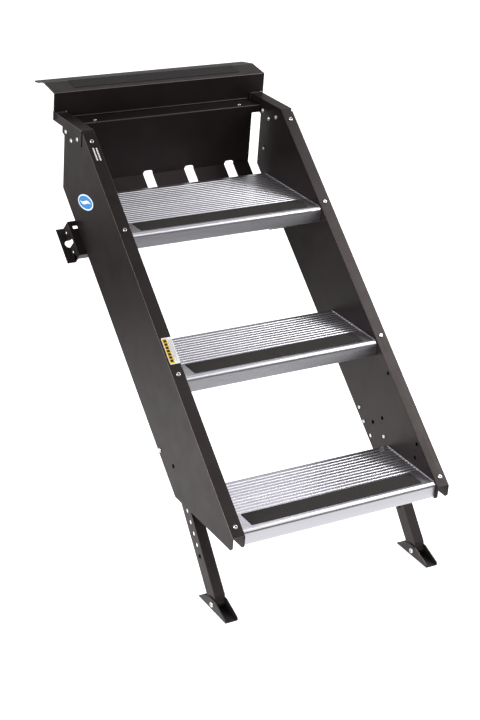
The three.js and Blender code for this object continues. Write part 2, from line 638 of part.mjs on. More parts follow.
// Channel, open to the rear over most of its length, with a rounded solid end around the foot bolt.
function leg(sign) {
  const { depth, wall, length } = LEG;
  const half = depth / 2;
  const [x0, x1] = [sign * LEG_INNER_X, sign * LEG_OUTER_X];
  const { radius, shoulder } = LEG_EYE;
  const inside = [x0 + sign * wall, x1 - sign * wall];
  const eye = barX(onLeg(0), x0, x1, radius, HEAD_SEGMENTS);
  const neck = prismOf(
    [onLeg(0, -radius), onLeg(shoulder, -half), onLeg(shoulder, half), onLeg(0, radius)], x0, x1,
  );
  const hollow = legBlock(...inside, LEG_PLUG, length + CUT, wall - half, half - wall);
  const rearOpening = legBlock(...inside, LEG_CLOSED, length + CUT, -half - CUT, 0);
  let body = legBlock(x0, x1, shoulder, length, -half, half).add(neck).add(eye);
  body = body.subtract(hollow).subtract(rearOpening);
  for (let i = 0; i < HOLE_COUNT; i += 1) {
    body = body.subtract(crossHole(onLeg(FIRST_HOLE + i * HOLE_PITCH), sign, HOLE_RADIUS));
  }
  return body.subtract(crossHole(onLeg(0), sign, FOOT_BOLT.shank + GAP));
}

// Spring pin in the right-hand web of a channel, drawn back; it moves to the left into a hole of the leg.
function legLockPin(sign) {
  const middle = sign * CHANNEL_MIDDLE_X;
  const nose = middle + LEG.width / 2 + GAP;
  const seat = middle + CHANNEL_WIDTH / 2 + GAP + LOCK_PIN.travel;
  const shank = barX(onLeg(LOCK_HOLE), nose, seat + OVERLAP, LOCK_PIN.shank);
  return shank.add(barX(onLeg(LOCK_HOLE), seat, seat + LOCK_PIN.knobLength, LOCK_PIN.knob, HEAD_SEGMENTS));
}

function legGuide(sign, { from, to, depth }, side) {
  const near = side * (LEG.depth / 2 + GAP);
  return legBlock(sign * LEG_INNER_X, sign * LEG_OUTER_X, from, to, near, near + side * depth);
}

// U-shaped shoe: a flat sole between two low cheeks.
function foot(sign) {
  const { plate, heelY, toeY, soleZ, topZ } = FOOT;
  const [x0, x1] = [sign * (LEG_INNER_X - GAP - plate), sign * (LEG_OUTER_X + GAP + plate)];
  const { heel, shoulder, crest, toeRun, toeRise, toe } = CHEEK;
  const cheek = [
    [heelY, soleZ], [heelY, soleZ + heel], [heelY - shoulder[0], soleZ + shoulder[1]],
    [heelY - crest[0], topZ], [heelY - crest[1], topZ], [toeY + toeRun, soleZ + toeRise],
    [toeY, soleZ + toe], [toeY, soleZ],
  ];
  const inside = [x0 + sign * plate, x1 - sign * plate];
  const hollow = box(...inside, heelY + CUT, toeY - CUT, soleZ + plate, topZ + CUT);
  const shoe = prismOf(cheek, x0, x1).subtract(hollow);
  return shoe.subtract(crossHole(onLeg(0), sign, FOOT_BOLT.shank + GAP));
}

// The bolt's head is on the left-hand cheek of either foot.
function footBolt(sign) {
  const reach = LEG.width / 2 + GAP + FOOT.plate + GAP;
  const middle = sign * CHANNEL_MIDDLE_X;
  const axis = onLeg(0);
  const shank = barX(axis, middle - reach - OVERLAP, middle + reach + OVERLAP, FOOT_BOLT.shank);
  const head = barX(axis, middle - reach - FOOT_BOLT.height, middle - reach, FOOT_BOLT.head, HEAD_SEGMENTS);
  const nut = barX(axis, middle + reach, middle + reach + FOOT_BOLT.nut, FOOT_BOLT.head, HEX);
  return shank.add(head).add(nut);
}

// ---------------------------------------------------------------- build

function addSill() {
  addPart("sill_bracket", sillBracket(), blackPaint);
  SILL_SCREW_X.forEach((x, i) => addPart(`sill_screw_${i + 1}`, sillScrew(x), zinc));
  addPart("hinge_rod", hingeRod(), zinc);
  addPart("hinge_rod_clip", hingeRodClip(), zinc);
}

function addThreshold() {
  addPart("threshold_plate", thresholdPlate(), blackPaint);
  addPart("threshold_grip", thresholdGrip(), gripTape);
  addPart("hinge_leaf", hingeLeaf(), blackPaint);
  addPart("hinge_bush_left", hingeBush(LEAF_KNUCKLES[0]), nylon);
  addPart("hinge_bush_right", hingeBush(LEAF_KNUCKLES[1]), nylon);
  addPart("cross_rail", crossRail(), blackPaint);
  addPart("kick_panel", kickPanel(), blackPaint);
}

function addTreads() {
  for (let i = 0; i < TREAD_COUNT; i += 1) {
    addPart(`tread_${i + 1}`, tread(i), aluminium);
    addPart(`grip_strip_${i + 1}`, gripStrip(i), gripTape);
    for (const [side, sign] of SIDES) {
      addPart(`tread_bracket_${i + 1}_${side}`, treadBracket(i, sign), blackPaint);
    }
  }
}

function addSide(side, sign) {
  addPart(`stringer_${side}`, stringer(sign), blackPaint);
  addPart(`arm_stiffener_${side}`, armStiffener(sign), blackPaint);
  ARM_BOLTS.forEach((at, i) => addPart(`arm_bolt_${side}_${i + 1}`, armBolt(at, sign), zinc));
  FLANGE_SCREWS_ALONG.forEach((at, i) => {
    addPart(`flange_screw_${side}_${i + 1}`, flangeScrew(at, sign), zinc);
  });
  addPart(`panel_screw_${side}`, panelScrew(sign), zinc);
  addPart(`leg_${side}`, leg(sign), legPaint);
  addPart(`leg_lock_pin_${side}`, legLockPin(sign), nylon);
  addPart(`leg_guide_rear_${side}`, legGuide(sign, GUIDE_REAR, -1), nylon);
  addPart(`leg_guide_front_${side}`, legGuide(sign, GUIDE_FRONT, 1), nylon);
  addPart(`foot_${side}`, foot(sign), footPaint);
  addPart(`foot_bolt_${side}`, footBolt(sign), zinc);
}

addSill();
addThreshold();
addTreads();
for (const [side, sign] of SIDES) addSide(side, sign);
addPart("latch_bracket", latchBracket(), blackPaint);

export default assembly;
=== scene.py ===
"""Looks of the fold-up entry step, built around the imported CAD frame.

Metres, +Z up, +Y into the vehicle.
"""

import json
import math

import bmesh
import bpy
from mathutils import Matrix, Vector


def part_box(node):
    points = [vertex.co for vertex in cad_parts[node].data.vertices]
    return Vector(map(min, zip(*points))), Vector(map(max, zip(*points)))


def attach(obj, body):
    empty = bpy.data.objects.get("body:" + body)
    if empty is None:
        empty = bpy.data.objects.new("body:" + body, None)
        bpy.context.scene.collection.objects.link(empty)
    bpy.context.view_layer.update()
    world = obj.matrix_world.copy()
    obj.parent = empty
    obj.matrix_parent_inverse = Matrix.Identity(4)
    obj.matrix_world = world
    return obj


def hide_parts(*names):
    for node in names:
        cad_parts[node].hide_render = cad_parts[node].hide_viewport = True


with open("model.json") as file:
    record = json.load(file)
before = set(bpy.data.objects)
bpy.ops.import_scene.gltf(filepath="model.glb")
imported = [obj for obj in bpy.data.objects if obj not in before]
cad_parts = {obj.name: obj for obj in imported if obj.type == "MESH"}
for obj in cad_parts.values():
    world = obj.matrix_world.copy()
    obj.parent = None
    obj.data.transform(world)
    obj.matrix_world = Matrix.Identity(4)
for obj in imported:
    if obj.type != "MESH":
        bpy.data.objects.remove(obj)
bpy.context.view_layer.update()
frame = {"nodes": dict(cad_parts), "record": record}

MM = 0.001
SIDES = (("left", -1), ("right", 1))
X_AXIS = Vector((1, 0, 0))
Y_AXIS = Vector((0, 1, 0))
UP = Vector((0, 0, 1))

# ---------------------------------------------------------------- places on the stair

RISE = 228.6 * MM
RUN = 271.8 * MM
SLOPE = math.atan2(RISE, RUN)
FLANGE_NORMAL = Vector((0, -math.sin(SLOPE), math.cos(SLOPE)))
DOWN_SLOPE = Vector((0, -math.cos(SLOPE), -math.sin(SLOPE)))
TOP_TREAD_LOW, TOP_TREAD_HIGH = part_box("tread_1")
FIRST_NOSE = Vector((0, TOP_TREAD_LOW.y, TOP_TREAD_HIGH.z))
CHANNEL_LOW, CHANNEL_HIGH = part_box("stringer_right")
INNER_X = CHANNEL_LOW.x
OUTER_X = CHANNEL_HIGH.x
MIDDLE_X = (INNER_X + OUTER_X) / 2
SOLE_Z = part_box("foot_left")[0].z


def on_flange(x, along, proud=0.0):
    """Point on the face of a front flange, some way down the slope from the first nose."""
    point = FIRST_NOSE + DOWN_SLOPE * along + FLANGE_NORMAL * proud
    return Vector((x, point.y, point.z))


# ---------------------------------------------------------------- camera

CAMERA_PLACE = Vector((-1.8771, -3.4621, 1.1996))
CAMERA_AZIMUTH = math.radians(32.35)
CAMERA_ELEVATION = math.radians(25.43)
CAMERA_ROLL = math.radians(-4.39)
CAMERA_LENS = 83.93
CAMERA_SENSOR = 36
CAMERA_CLIP = (0.05, 60)


def make_camera():
    a, e, roll = CAMERA_AZIMUTH, CAMERA_ELEVATION, CAMERA_ROLL
    forward = Vector((math.sin(a) * math.cos(e), math.cos(a) * math.cos(e), -math.sin(e)))
    right = Vector((math.cos(a), -math.sin(a), 0))
    down = forward.cross(right)
    image_x = right * math.cos(roll) + down * math.sin(roll)
    image_y = down * math.cos(roll) - right * math.sin(roll)
    data = bpy.data.cameras.new("camera")
    data.lens = CAMERA_LENS
    data.sensor_width = CAMERA_SENSOR
    data.clip_start, data.clip_end = CAMERA_CLIP
    camera = bpy.data.objects.new("camera", data)
    axes = Matrix((image_x, -image_y, -forward)).transposed().to_4x4()
    camera.matrix_world = Matrix.Translation(CAMERA_PLACE) @ axes
    bpy.context.collection.objects.link(camera)
    bpy.context.scene.camera = camera


# ---------------------------------------------------------------- node helpers

SHADER_INPUTS = {"metallic": "Metallic", "specular": "Specular IOR Level", "tint": "Specular Tint"}


class Nodes:
    """A material's node tree with short calls for the nodes used here. Scales are per metre."""

    def __init__(self, name):
        self.material = bpy.data.materials.new(name)
        self.material.use_nodes = True
        self.tree = self.material.node_tree
        self.shader = self.tree.nodes["Principled BSDF"]
        self.place = self.tree.nodes.new("ShaderNodeTexCoord").outputs["Object"]

    def link(self, source, target):
        self.tree.links.new(source, target)

    def set(self, **values):
        for key, value in values.items():
            self.shader.inputs[SHADER_INPUTS[key]].default_value = value

    def stretched(self, scale):
        mapping = self.tree.nodes.new("ShaderNodeMapping")
        mapping.inputs["Scale"].default_value = scale
        self.link(self.place, mapping.inputs["Vector"])
        return mapping.outputs["Vector"]

    def noise(self, scale, detail, rough=0.55, vector=None):
        node = self.tree.nodes.new("ShaderNodeTexNoise")
        node.inputs["Scale"].default_value = scale
        node.inputs["Detail"].default_value = detail
        node.inputs["Roughness"].default_value = rough
        self.link(vector or self.place, node.inputs["Vector"])
        return node.outputs["Fac"]

    def cells(self, scale):
        node = self.tree.nodes.new("ShaderNodeTexVoronoi")
        node.inputs["Scale"].default_value = scale
        self.link(self.place, node.inputs["Vector"])
        return node.outputs["Distance"]

    def ramp(self, value, low, high, start, end):
        """Runs from low to high while the value runs from start to end."""
        node = self.tree.nodes.new("ShaderNodeMapRange")
        node.inputs["From Min"].default_value = start
        node.inputs["From Max"].default_value = end
        node.inputs["To Min"].default_value = low
        node.inputs["To Max"].default_value = high
        self.link(value, node.inputs["Value"])
        return node.outputs["Result"]

    def mix_color(self, share, first, second):
        """Mixes two colours; either may be a tuple or another node's output."""
        node = self.tree.nodes.new("ShaderNodeMix")
        node.data_type = "RGBA"
        self.link(share, node.inputs[0])
        for index, value in ((6, first), (7, second)):
            if isinstance(value, tuple):
                node.inputs[index].default_value = (*value, 1)
            else:
                self.link(value, node.inputs[index])
        return node.outputs[2]

    def bump(self, height, strength, depth):
        node = self.tree.nodes.new("ShaderNodeBump")
        node.inputs["Strength"].default_value = strength
        node.inputs["Distance"].default_value = depth
        self.link(height, node.inputs["Height"])
        return node

    def finish(self, color, roughness, bumps):
        """Links colour, roughness and a chain of bumps to the shader."""
        self.link(color, self.shader.inputs["Base Color"])
        self.link(roughness, self.shader.inputs["Roughness"])
        for first, second in zip(bumps, bumps[1:]):
            self.link(first.outputs["Normal"], second.inputs["Normal"])
        self.link(bumps[-1].outputs["Normal"], self.shader.inputs["Normal"])
        return self.material


# ---------------------------------------------------------------- materials

COAT_TINT = (1.0, 0.86, 0.84, 1)
DRAWN_LINES = (3.0, 900.0, 900.0)
BROAD_STREAKS = (2.0, 60.0, 60.0)
GRIT_SCALE = 1100.0
GLINT = (0.25, 0.24, 0.23)


def powder_coat(name, dark, light, low_rough, high_rough, gloss=0.31):
    """Satin powder coat: fine orange peel, clouding, and a few pale dust specks."""
    n = Nodes(name)
    clouds = n.noise(9.0, detail=4.0)
    base = n.mix_color(n.ramp(clouds, 0, 1, start=0.35, end=0.65), dark, light)
    specks = n.ramp(n.noise(420.0, detail=1.0), 0, 0.35, start=0.70, end=0.80)
    dusty = n.mix_color(specks, base, tuple(c * 2.0 + 0.006 for c in light))
    rough = n.ramp(n.noise(26.0, detail=5.0, rough=0.6), low_rough, high_rough, start=0.3, end=0.7)
    peel = n.bump(n.noise(1500.0, detail=2.0), strength=0.10, depth=0.12 * MM)
    wave = n.bump(n.noise(14.0, detail=2.0), strength=0.05, depth=0.6 * MM)
    n.set(specular=gloss, tint=COAT_TINT)
    return n.finish(dusty, rough, (wave, peel))


def extruded_aluminium(name):
    """Mill-finish extrusion: drawn lines run along X."""
    n = Nodes(name)
    lines = n.noise(1.0, detail=5.0, rough=0.6, vector=n.stretched(DRAWN_LINES))
    broad = n.noise(1.0, detail=3.0, rough=0.5, vector=n.stretched(BROAD_STREAKS))
    fine = n.ramp(lines, 0, 1, start=0.3, end=0.7)
    tone = n.mix_color(fine, (0.75, 0.74, 0.785), (0.88, 0.87, 0.915))
    tone = n.mix_color(n.ramp(broad, 0, 0.4, start=0.35, end=0.7), tone, (0.66, 0.65, 0.705))
    rough = n.ramp(lines, 0.24, 0.42, start=0.25, end=0.75)
    scratch = n.bump(lines, strength=0.16, depth=0.08 * MM)
    n.set(metallic=1.0)
    return n.finish(tone, rough, (scratch,))


def mineral_grip(name, dark, light):
    """Abrasive tape: packed grains with a few that glint."""
    n = Nodes(name)
    grains = n.cells(GRIT_SCALE)
    mottled = n.noise(GRIT_SCALE * 0.55, detail=4.0, rough=0.7)
    tone = n.mix_color(n.ramp(mottled, 0, 1, start=0.35, end=0.65), dark, light)
    glints = n.ramp(n.noise(GRIT_SCALE * 0.9, detail=1.0), 0, 0.5, start=0.68, end=0.78)
    tone = n.mix_color(glints, tone, GLINT)
    rough = n.ramp(mottled, 0.75, 0.98, start=0.3, end=0.7)
    grit = n.bump(grains, strength=0.8, depth=0.3 * MM)
    n.set(specular=0.35)
    return n.finish(tone, rough, (grit,))


def plated_steel(name):
    """Bright zinc plating with faint crystalline clouding."""
    n = Nodes(name)
    spangle = n.noise(700.0, detail=3.0)
    clouds = n.ramp(spangle, 0, 1, start=0.3, end=0.7)
    tone = n.mix_color(clouds, (0.74, 0.74, 0.75), (0.90, 0.90, 0.91))
    rough = n.ramp(n.noise(300.0, detail=2.0), 0.18, 0.34, start=0.3, end=0.7)
    n.set(metallic=1.0)
    return n.finish(tone, rough, (n.bump(spangle, strength=0.08, depth=0.05 * MM),))


def moulded_nylon(name):
    """Black plastic with a faint moulded grain."""
    n = Nodes(name)
    mottle = n.noise(300.0, detail=3.0)
    tone = n.mix_color(mottle, (0.010, 0.010, 0.010), (0.022, 0.021, 0.021))
    rough = n.ramp(mottle, 0.5, 0.7, start=0.3, end=0.7)
    return n.finish(tone, rough, (n.bump(mottle, strength=0.15, depth=0.1 * MM),))


def printed_film(name, low, high, rough=0.38):
    """Vinyl label film with slight mottling."""
    n = Nodes(name)
    n.set(specular=0.25)
    mottle = n.noise(240.0, detail=3.0)
    tone = n.mix_color(mottle, low, high)
    gloss = n.ramp(mottle, rough - 0.05, rough + 0.07, start=0.3, end=0.7)
    return n.finish(tone, gloss, (n.bump(mottle, strength=0.05, depth=0.05 * MM),))


BLACK = powder_coat("black_coat", (0.0082, 0.0056, 0.0058), (0.0118, 0.0084, 0.0085), 0.34, 0.44)
LEG_COAT = powder_coat("leg_coat", (0.016, 0.013, 0.013), (0.022, 0.018, 0.018), 0.34, 0.46)
# Lighter coat for outer bends and the lip tab: a painted highlight.
HIGHLIGHT_COAT = powder_coat("painted_highlight_coat", (0.085, 0.075, 0.067), (0.115, 0.102, 0.092), 0.24, 0.34, 0.8)
# Lighter coat for the rolled edges: a painted highlight.
HIGHLIGHT_BEAD_COAT = powder_coat("painted_highlight_bead_coat", (0.040, 0.037, 0.036), (0.058, 0.054, 0.052), 0.26, 0.36, 0.6)
FOOT_COAT = powder_coat("foot_coat", (0.0150, 0.0128, 0.0130), (0.0210, 0.0185, 0.0188), 0.30, 0.42)
ALUMINIUM = extruded_aluminium("extruded_aluminium")
TREAD_GRIP = mineral_grip("tread_grip", (0.018, 0.0155, 0.014), (0.042, 0.038, 0.034))
PLATE_GRIP = mineral_grip("plate_grip", (0.018, 0.0155, 0.0155), (0.036, 0.032, 0.032))
ZINC = plated_steel("zinc_plate")
NYLON = moulded_nylon("black_nylon")
WHITE_FILM = printed_film("white_film", (0.93, 0.93, 0.93), (0.97, 0.97, 0.97))
BLUE_FILM = printed_film("blue_film", (0.035, 0.19, 0.52), (0.075, 0.28, 0.64))
RIM_FILM = printed_film("rim_film", (0.22, 0.42, 0.68), (0.30, 0.50, 0.76))
YELLOW_FILM = printed_film("yellow_film", (0.86, 0.54, 0.002), (0.94, 0.63, 0.004), 0.5)
# Black for print, and also painted shade in the screw sockets and painted shadow below the flange
# laps.
INK_AND_SHADE = printed_film("black_ink_and_shade", (0.012, 0.012, 0.012), (0.03, 0.03, 0.03))
GREY_INK = printed_film("grey_ink", (0.30, 0.30, 0.31), (0.42, 0.42, 0.43))

# ---------------------------------------------------------------- mesh helpers

RING_STEPS = 32
BODY_OF = {node: body
           for body, nodes in frame["record"]["behaviour"]["bodies"].items() for node in nodes}


def add_piece(name, bm, material, body, node=None, sharp=32, highlight_material=None):
    """Makes a smooth-shaded object of a bmesh that rides on a body.

    It stands for a CAD node if one is named.
    """
    bmesh.ops.recalc_face_normals(bm, faces=bm.faces)
    mesh = bpy.data.meshes.new(name)
    bm.to_mesh(mesh)
    bm.free()
    mesh.materials.append(material)
    # The highlight material, a lighter coat that paints highlights, goes in as the second material.
    if highlight_material:
        mesh.materials.append(highlight_material)
    mesh.polygons.foreach_set("use_smooth", [True] * len(mesh.polygons))
    mesh.set_sharp_from_angle(angle=math.radians(sharp))
    piece = bpy.data.objects.new(name, mesh)
    bpy.context.collection.objects.link(piece)
    weighted = piece.modifiers.new("weighted", "WEIGHTED_NORMAL")
    weighted.keep_sharp = True
    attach(piece, body)
    if node:
        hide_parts(node)


def bridge(bm, low, high):
    """Closed strip of faces between two rings of the same length."""
    for i in range(len(low)):
        j = (i + 1) % len(low)
        bm.faces.new((low[i], low[j], high[j], high[i]))


def skin(bm, rings):
    """Closed solid through a row of rings."""
    for low, high in zip(rings, rings[1:]):
        bridge(bm, low, high)
    bm.faces.new(list(reversed(rings[0])))
    bm.faces.new(rings[-1])


def arc(cy, cz, radius, start, end, steps):
    """Points of an arc in the YZ plane; the angles are in degrees."""
    angles = [math.radians(start + (end - start) * k / steps) for k in range(steps + 1)]
    return [(cy + radius * math.cos(a), cz + radius * math.sin(a)) for a in angles]


def loft_along_x(bm, section, x0, x1):
    """Closed solid of a [y, z] section between two X positions."""
    skin(bm, [[bm.verts.new((x, y, z)) for y, z in section] for x in (x0, x1)])


def rounded_plate(bm, centre, across, along, width, length, thickness, radius, steps=5):
    """Thin plate with rounded corners and a broken upper rim; centre is on its underside."""
    up = across.cross(along).normalized()
    chamfer = 0.25 * thickness
    rings = []
    for inset, lift in ((0.0, 0.0), (0.0, thickness - chamfer), (chamfer, thickness)):
        ring = []
        for corner, (sx, sy) in enumerate(((1, 1), (-1, 1), (-1, -1), (1, -1))):
            for k in range(steps + 1):
                angle = (corner + k / steps) * math.pi / 2
                reach = radius - inset
                u = sx * (width / 2 - radius) + reach * math.cos(angle)
                v = sy * (length / 2 - radius) + reach * math.sin(angle)
                ring.append(bm.verts.new(centre + across * u + along * v + up * lift))
        rings.append(ring)
    skin(bm, rings)


def frame_along(direction):
    """Matrix whose Z column is the direction."""
    z = direction.normalized()
    x = X_AXIS - z * z.x
    if x.length < 1e-6:
        x = Y_AXIS - z * z.y
    x.normalize()
    return Matrix((x, z.cross(x), z)).transposed()


def turned_ring(bm, turn, place, radius, height, segments, hexagon=False):
    """Ring of vertices round an axis, drawn in to a hexagon if asked."""
    ring = []
    for i in range(segments):
        angle = 2 * math.pi * i / segments
        reach = radius
        if hexagon:
            sector = (angle % (math.pi / 3)) - math.pi / 6
            reach = radius * math.cos(math.pi / 6) / math.cos(sector)
        point = Vector((reach * math.cos(angle), reach * math.sin(angle), height))
        ring.append(bm.verts.new(place + turn @ point))
    return ring


def lathe(bm, outline, place, direction, segments=RING_STEPS, hexed=()):
    """Turns [radius, height] points round an axis; the rings listed in hexed become hexagons."""
    turn = frame_along(direction)
    rings = []
    for index, (radius, height) in enumerate(outline):
        if radius < 1e-7:
            rings.append([bm.verts.new(place + turn @ Vector((0, 0, height)))])
        else:
            rings.append(turned_ring(bm, turn, place, radius, height, segments, index in hexed))
    for low, high in zip(rings, rings[1:]):
        for i in range(segments):
            j = (i + 1) % segments
            corners = [low[i % len(low)], low[j % len(low)], high[j % len(high)], high[i % len(high)]]
            unique = [v for k, v in enumerate(corners) if v not in corners[:k]]
            if len(unique) > 2:
                bm.faces.new(unique)
    for ring in (rings[0], rings[-1]):
        if len(ring) > 2:
            bm.faces.new(ring)


def lathe_ring(bm, outline, place, direction):
    """Turns a closed [radius, height] outline round an axis into a ring."""
    turn = frame_along(direction)
    rings = [turned_ring(bm, turn, place, radius, height, RING_STEPS) for radius, height in outline]
    for k, low in enumerate(rings):
        bridge(bm, low, rings[(k + 1) % len(rings)])


# ---------------------------------------------------------------- pressed and moulded parts

MERGE = 0.01 * MM
FLAT_ANGLE = 0.6
FOLD_ANGLE = 14
RIM_ANGLE = 40

# Sheet thickness, outer bend and inner bend of each pressed part.
STRINGER_FOLDS = (2.2 * MM, 2.6 * MM, 0.7 * MM)
STIFFENER_FOLDS = (3 * MM, 2.4 * MM, 0.6 * MM)
LEG_FOLDS = (2 * MM, 3.4 * MM, 0.7 * MM)
FOOT_FOLDS = (2.5 * MM, 2.2 * MM, 0.8 * MM)
BRACKET_FOLDS = (2.6 * MM, 2.4 * MM, 0.8 * MM)
PLATE_FOLDS = (2.5 * MM, 3.6 * MM, 1.2 * MM)
PANEL_FOLDS = (2 * MM, 3.2 * MM, 1.2 * MM)
RAIL_FOLDS = (2.5 * MM, 3.9 * MM, 1.4 * MM)
LATCH_FOLDS = (3 * MM, 2.2 * MM, 0.8 * MM)


def width_beside(edge, face):
    """Mean width of a face beside one of its edges."""
    return face.calc_area() / max(edge.calc_length(), 1e-9)


def sharp_edges(bm, degrees):
    """Edges where two faces turn by more than the given angle."""
    limit = math.radians(degrees)
    return [e for e in bm.edges if len(e.link_faces) == 2 and e.calc_face_angle(0) > limit]


def bevel_edges(bm, edges, offset, segments):
    return bmesh.ops.bevel(bm, geom=edges, offset=offset, offset_type="OFFSET", segments=segments,
                           profile=0.5, affect="EDGES", clamp_overlap=True)


def joined_facets(node):
    """Mesh of the CAD node with its flat facets joined."""
    bm = bmesh.new()
    bm.from_mesh(frame["nodes"][node].data)
    bmesh.ops.remove_doubles(bm, verts=bm.verts, dist=MERGE)
    bmesh.ops.dissolve_limit(bm, angle_limit=math.radians(FLAT_ANGLE), verts=bm.verts,
                             edges=bm.edges, use_dissolve_boundaries=False)
    return bm


def broken_solid(node, bm, material, edge, highlight_material=None):
    """Adds a mesh in the CAD node's place with its sharp edges broken."""
    rims = sharp_edges(bm, RIM_ANGLE)
    if rims:
        bevel_edges(bm, rims, edge, 2)
    add_piece(f"{node}_shape", bm, material, BODY_OF[node], node, highlight_material=highlight_material)


def folded_sheet(node, material, folds, edge=0.35 * MM, highlight_material=None):
    """The CAD node as pressed metal: round bends where the sheet folds, broken edges elsewhere.

    The highlight material, where there is one, covers the outer bends with a lighter coat that paints
    highlights on them.
    """
    sheet, outer_bend, inner_bend = folds
    bm = joined_facets(node)
    bends = [e for e in sharp_edges(bm, FOLD_ANGLE)
             if all(width_beside(e, f) > 1.4 * sheet for f in e.link_faces)]
    outer = [e for e in bends if e.is_convex]
    inner = [e for e in bends if not e.is_convex]
    for edges, radius, index in ((outer, outer_bend, 1 if highlight_material else 0),
                                 (inner, inner_bend, 0)):
        live = [e for e in edges if e.is_valid]
        if live:
            for face in bevel_edges(bm, live, radius, 4)["faces"]:
                face.material_index = index
    broken_solid(node, bm, material, edge, highlight_material)


def plain_part(node, material, edge):
    """The CAD node as a solid with broken edges."""
    broken_solid(node, joined_facets(node), material, edge)


def make_pressings():
    for side, _ in SIDES:
        # Only the left channel has painted highlights on its outer bends.
        folded_sheet(f"stringer_{side}", BLACK, STRINGER_FOLDS,
                     highlight_material=HIGHLIGHT_COAT if side == "left" else None)
        folded_sheet(f"arm_stiffener_{side}", BLACK, STIFFENER_FOLDS)
        folded_sheet(f"leg_{side}", LEG_COAT, LEG_FOLDS)
        folded_sheet(f"foot_{side}", FOOT_COAT, FOOT_FOLDS)
        for kind in ("rear", "front"):
            plain_part(f"leg_guide_{kind}_{side}", NYLON, edge=0.8 * MM)
        plain_part(f"leg_lock_pin_{side}", NYLON, edge=0.4 * MM)
        for i in (1, 2, 3):
            folded_sheet(f"tread_bracket_{i}_{side}", BLACK, BRACKET_FOLDS)
    # The threshold plate, kick panel, cross rail and latch bracket have painted highlights on their
    # outer bends.
    folded_sheet("threshold_plate", BLACK, PLATE_FOLDS, 0.45 * MM, HIGHLIGHT_COAT)
    folded_sheet("kick_panel", BLACK, PANEL_FOLDS, highlight_material=HIGHLIGHT_COAT)
    folded_sheet("cross_rail", BLACK, RAIL_FOLDS, highlight_material=HIGHLIGHT_COAT)
    folded_sheet("latch_bracket", BLACK, LATCH_FOLDS, highlight_material=HIGHLIGHT_COAT)
    plain_part("hinge_leaf", BLACK, edge=0.4 * MM)
    plain_part("sill_bracket", BLACK, edge=0.5 * MM)
    for node in ("hinge_bush_left", "hinge_bush_right"):
        plain_part(node, NYLON, edge=0.2 * MM)
    for node in ("hinge_rod", "hinge_rod_clip"):
        plain_part(node, ZINC, edge=0.4 * MM)


# ---------------------------------------------------------------- treads

TREADS = (1, 2, 3)
WALL = 3 * MM
CEILING = -4.4 * MM
NOSE_RADIUS = 9 * MM
FRONT_LIP = 12 * MM
FRONT_CORNER = 1.6 * MM
REAR_ROUND = 0.8 * MM
CORNER = 1.2 * MM
LIP_CORNER = 1.0 * MM
TIP = 0.6 * MM
SKIRT = 28 * MM
# Only the top tread has its rear skirt set in from the rear edge.
TOP_SKIRT_INSET = 36 * MM

FLUTE_PITCH = 10.9 * MM
FLUTE_START = 66 * MM
FLUTE_LIP = 0.5 * MM
FLUTE_WIDTH = 4.6 * MM
FLUTE_FLOOR = ((0.9 * MM, -1.25 * MM), (1.6 * MM, -1.4 * MM), (3.0 * MM, -1.4 * MM),
               (3.7 * MM, -1.25 * MM))
REAR_BAND = 9 * MM


def flute(y):
    """Shallow groove with rounded lips that starts at y."""
    points = arc(y - FLUTE_LIP, -FLUTE_LIP, FLUTE_LIP, 90, 20, 2)
    points += [(y + dy, z) for dy, z in FLUTE_FLOOR]
    return points + arc(y + FLUTE_WIDTH + FLUTE_LIP, -FLUTE_LIP, FLUTE_LIP, 160, 90, 2)


def tread_section(depth, skirt_rear, height):
    """Extrusion outline with its top front edge at [0, 0]: rounded nose, fluted deck, rear skirt."""
    points = arc(NOSE_RADIUS, -NOSE_RADIUS, NOSE_RADIUS, 180, 90, 14)
    flutes = math.floor((depth - REAR_BAND - FLUTE_START) / FLUTE_PITCH)
    for i in range(flutes + 1):
        points += flute(FLUTE_START + i * FLUTE_PITCH)
    points += arc(depth - REAR_ROUND, -REAR_ROUND, REAR_ROUND, 90, 0, 3)
    if skirt_rear < depth - WALL:
        points += [(depth, CEILING), (skirt_rear + CORNER, CEILING)]
        points += arc(skirt_rear + CORNER, CEILING - CORNER, CORNER, 90, 180, 3)[1:]
    points += arc(skirt_rear - TIP, -SKIRT + TIP, TIP, 0, -90, 3)
    points += arc(skirt_rear - WALL + TIP, -SKIRT + TIP, TIP, -90, -180, 3)
    points += arc(skirt_rear - WALL - CORNER, CEILING - CORNER, CORNER, 0, 90, 3)
    points += arc(NOSE_RADIUS, -NOSE_RADIUS, NOSE_RADIUS - WALL, 90, 180, 8)[1:]
    points += arc(WALL + LIP_CORNER, -height + WALL + LIP_CORNER, LIP_CORNER, 180, 270, 3)
    points += [(FRONT_LIP, -height + WALL), (FRONT_LIP, -height + TIP)]
    points += arc(FRONT_LIP - TIP, -height + TIP, TIP, 0, -90, 2)[1:]
    return points + arc(FRONT_CORNER, -height + FRONT_CORNER, FRONT_CORNER, 270, 180, 4)


def make_treads():
    for i in TREADS:
        low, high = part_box(f"tread_{i}")
        depth = high.y - low.y
        skirt_rear = depth - (TOP_SKIRT_INSET if i == 1 else 0)
        section = tread_section(depth, skirt_rear, high.z - low.z)
        bm = bmesh.new()
        loft_along_x(bm, [(low.y + y, high.z + z) for y, z in section], low.x, high.x)
        add_piece(f"tread_{i}_extrusion", bm, ALUMINIUM, "stair", f"tread_{i}", sharp=24)
        make_end_lips(i, low, high)
        make_grip_strip(i)


END_LIP = 0.9 * MM
END_LIP_RISE = 1.1 * MM
END_LIP_GAP = 0.15 * MM
END_LIP_SUNK = 1.0 * MM
END_LIP_INSETS = (7 * MM, 1.0 * MM)


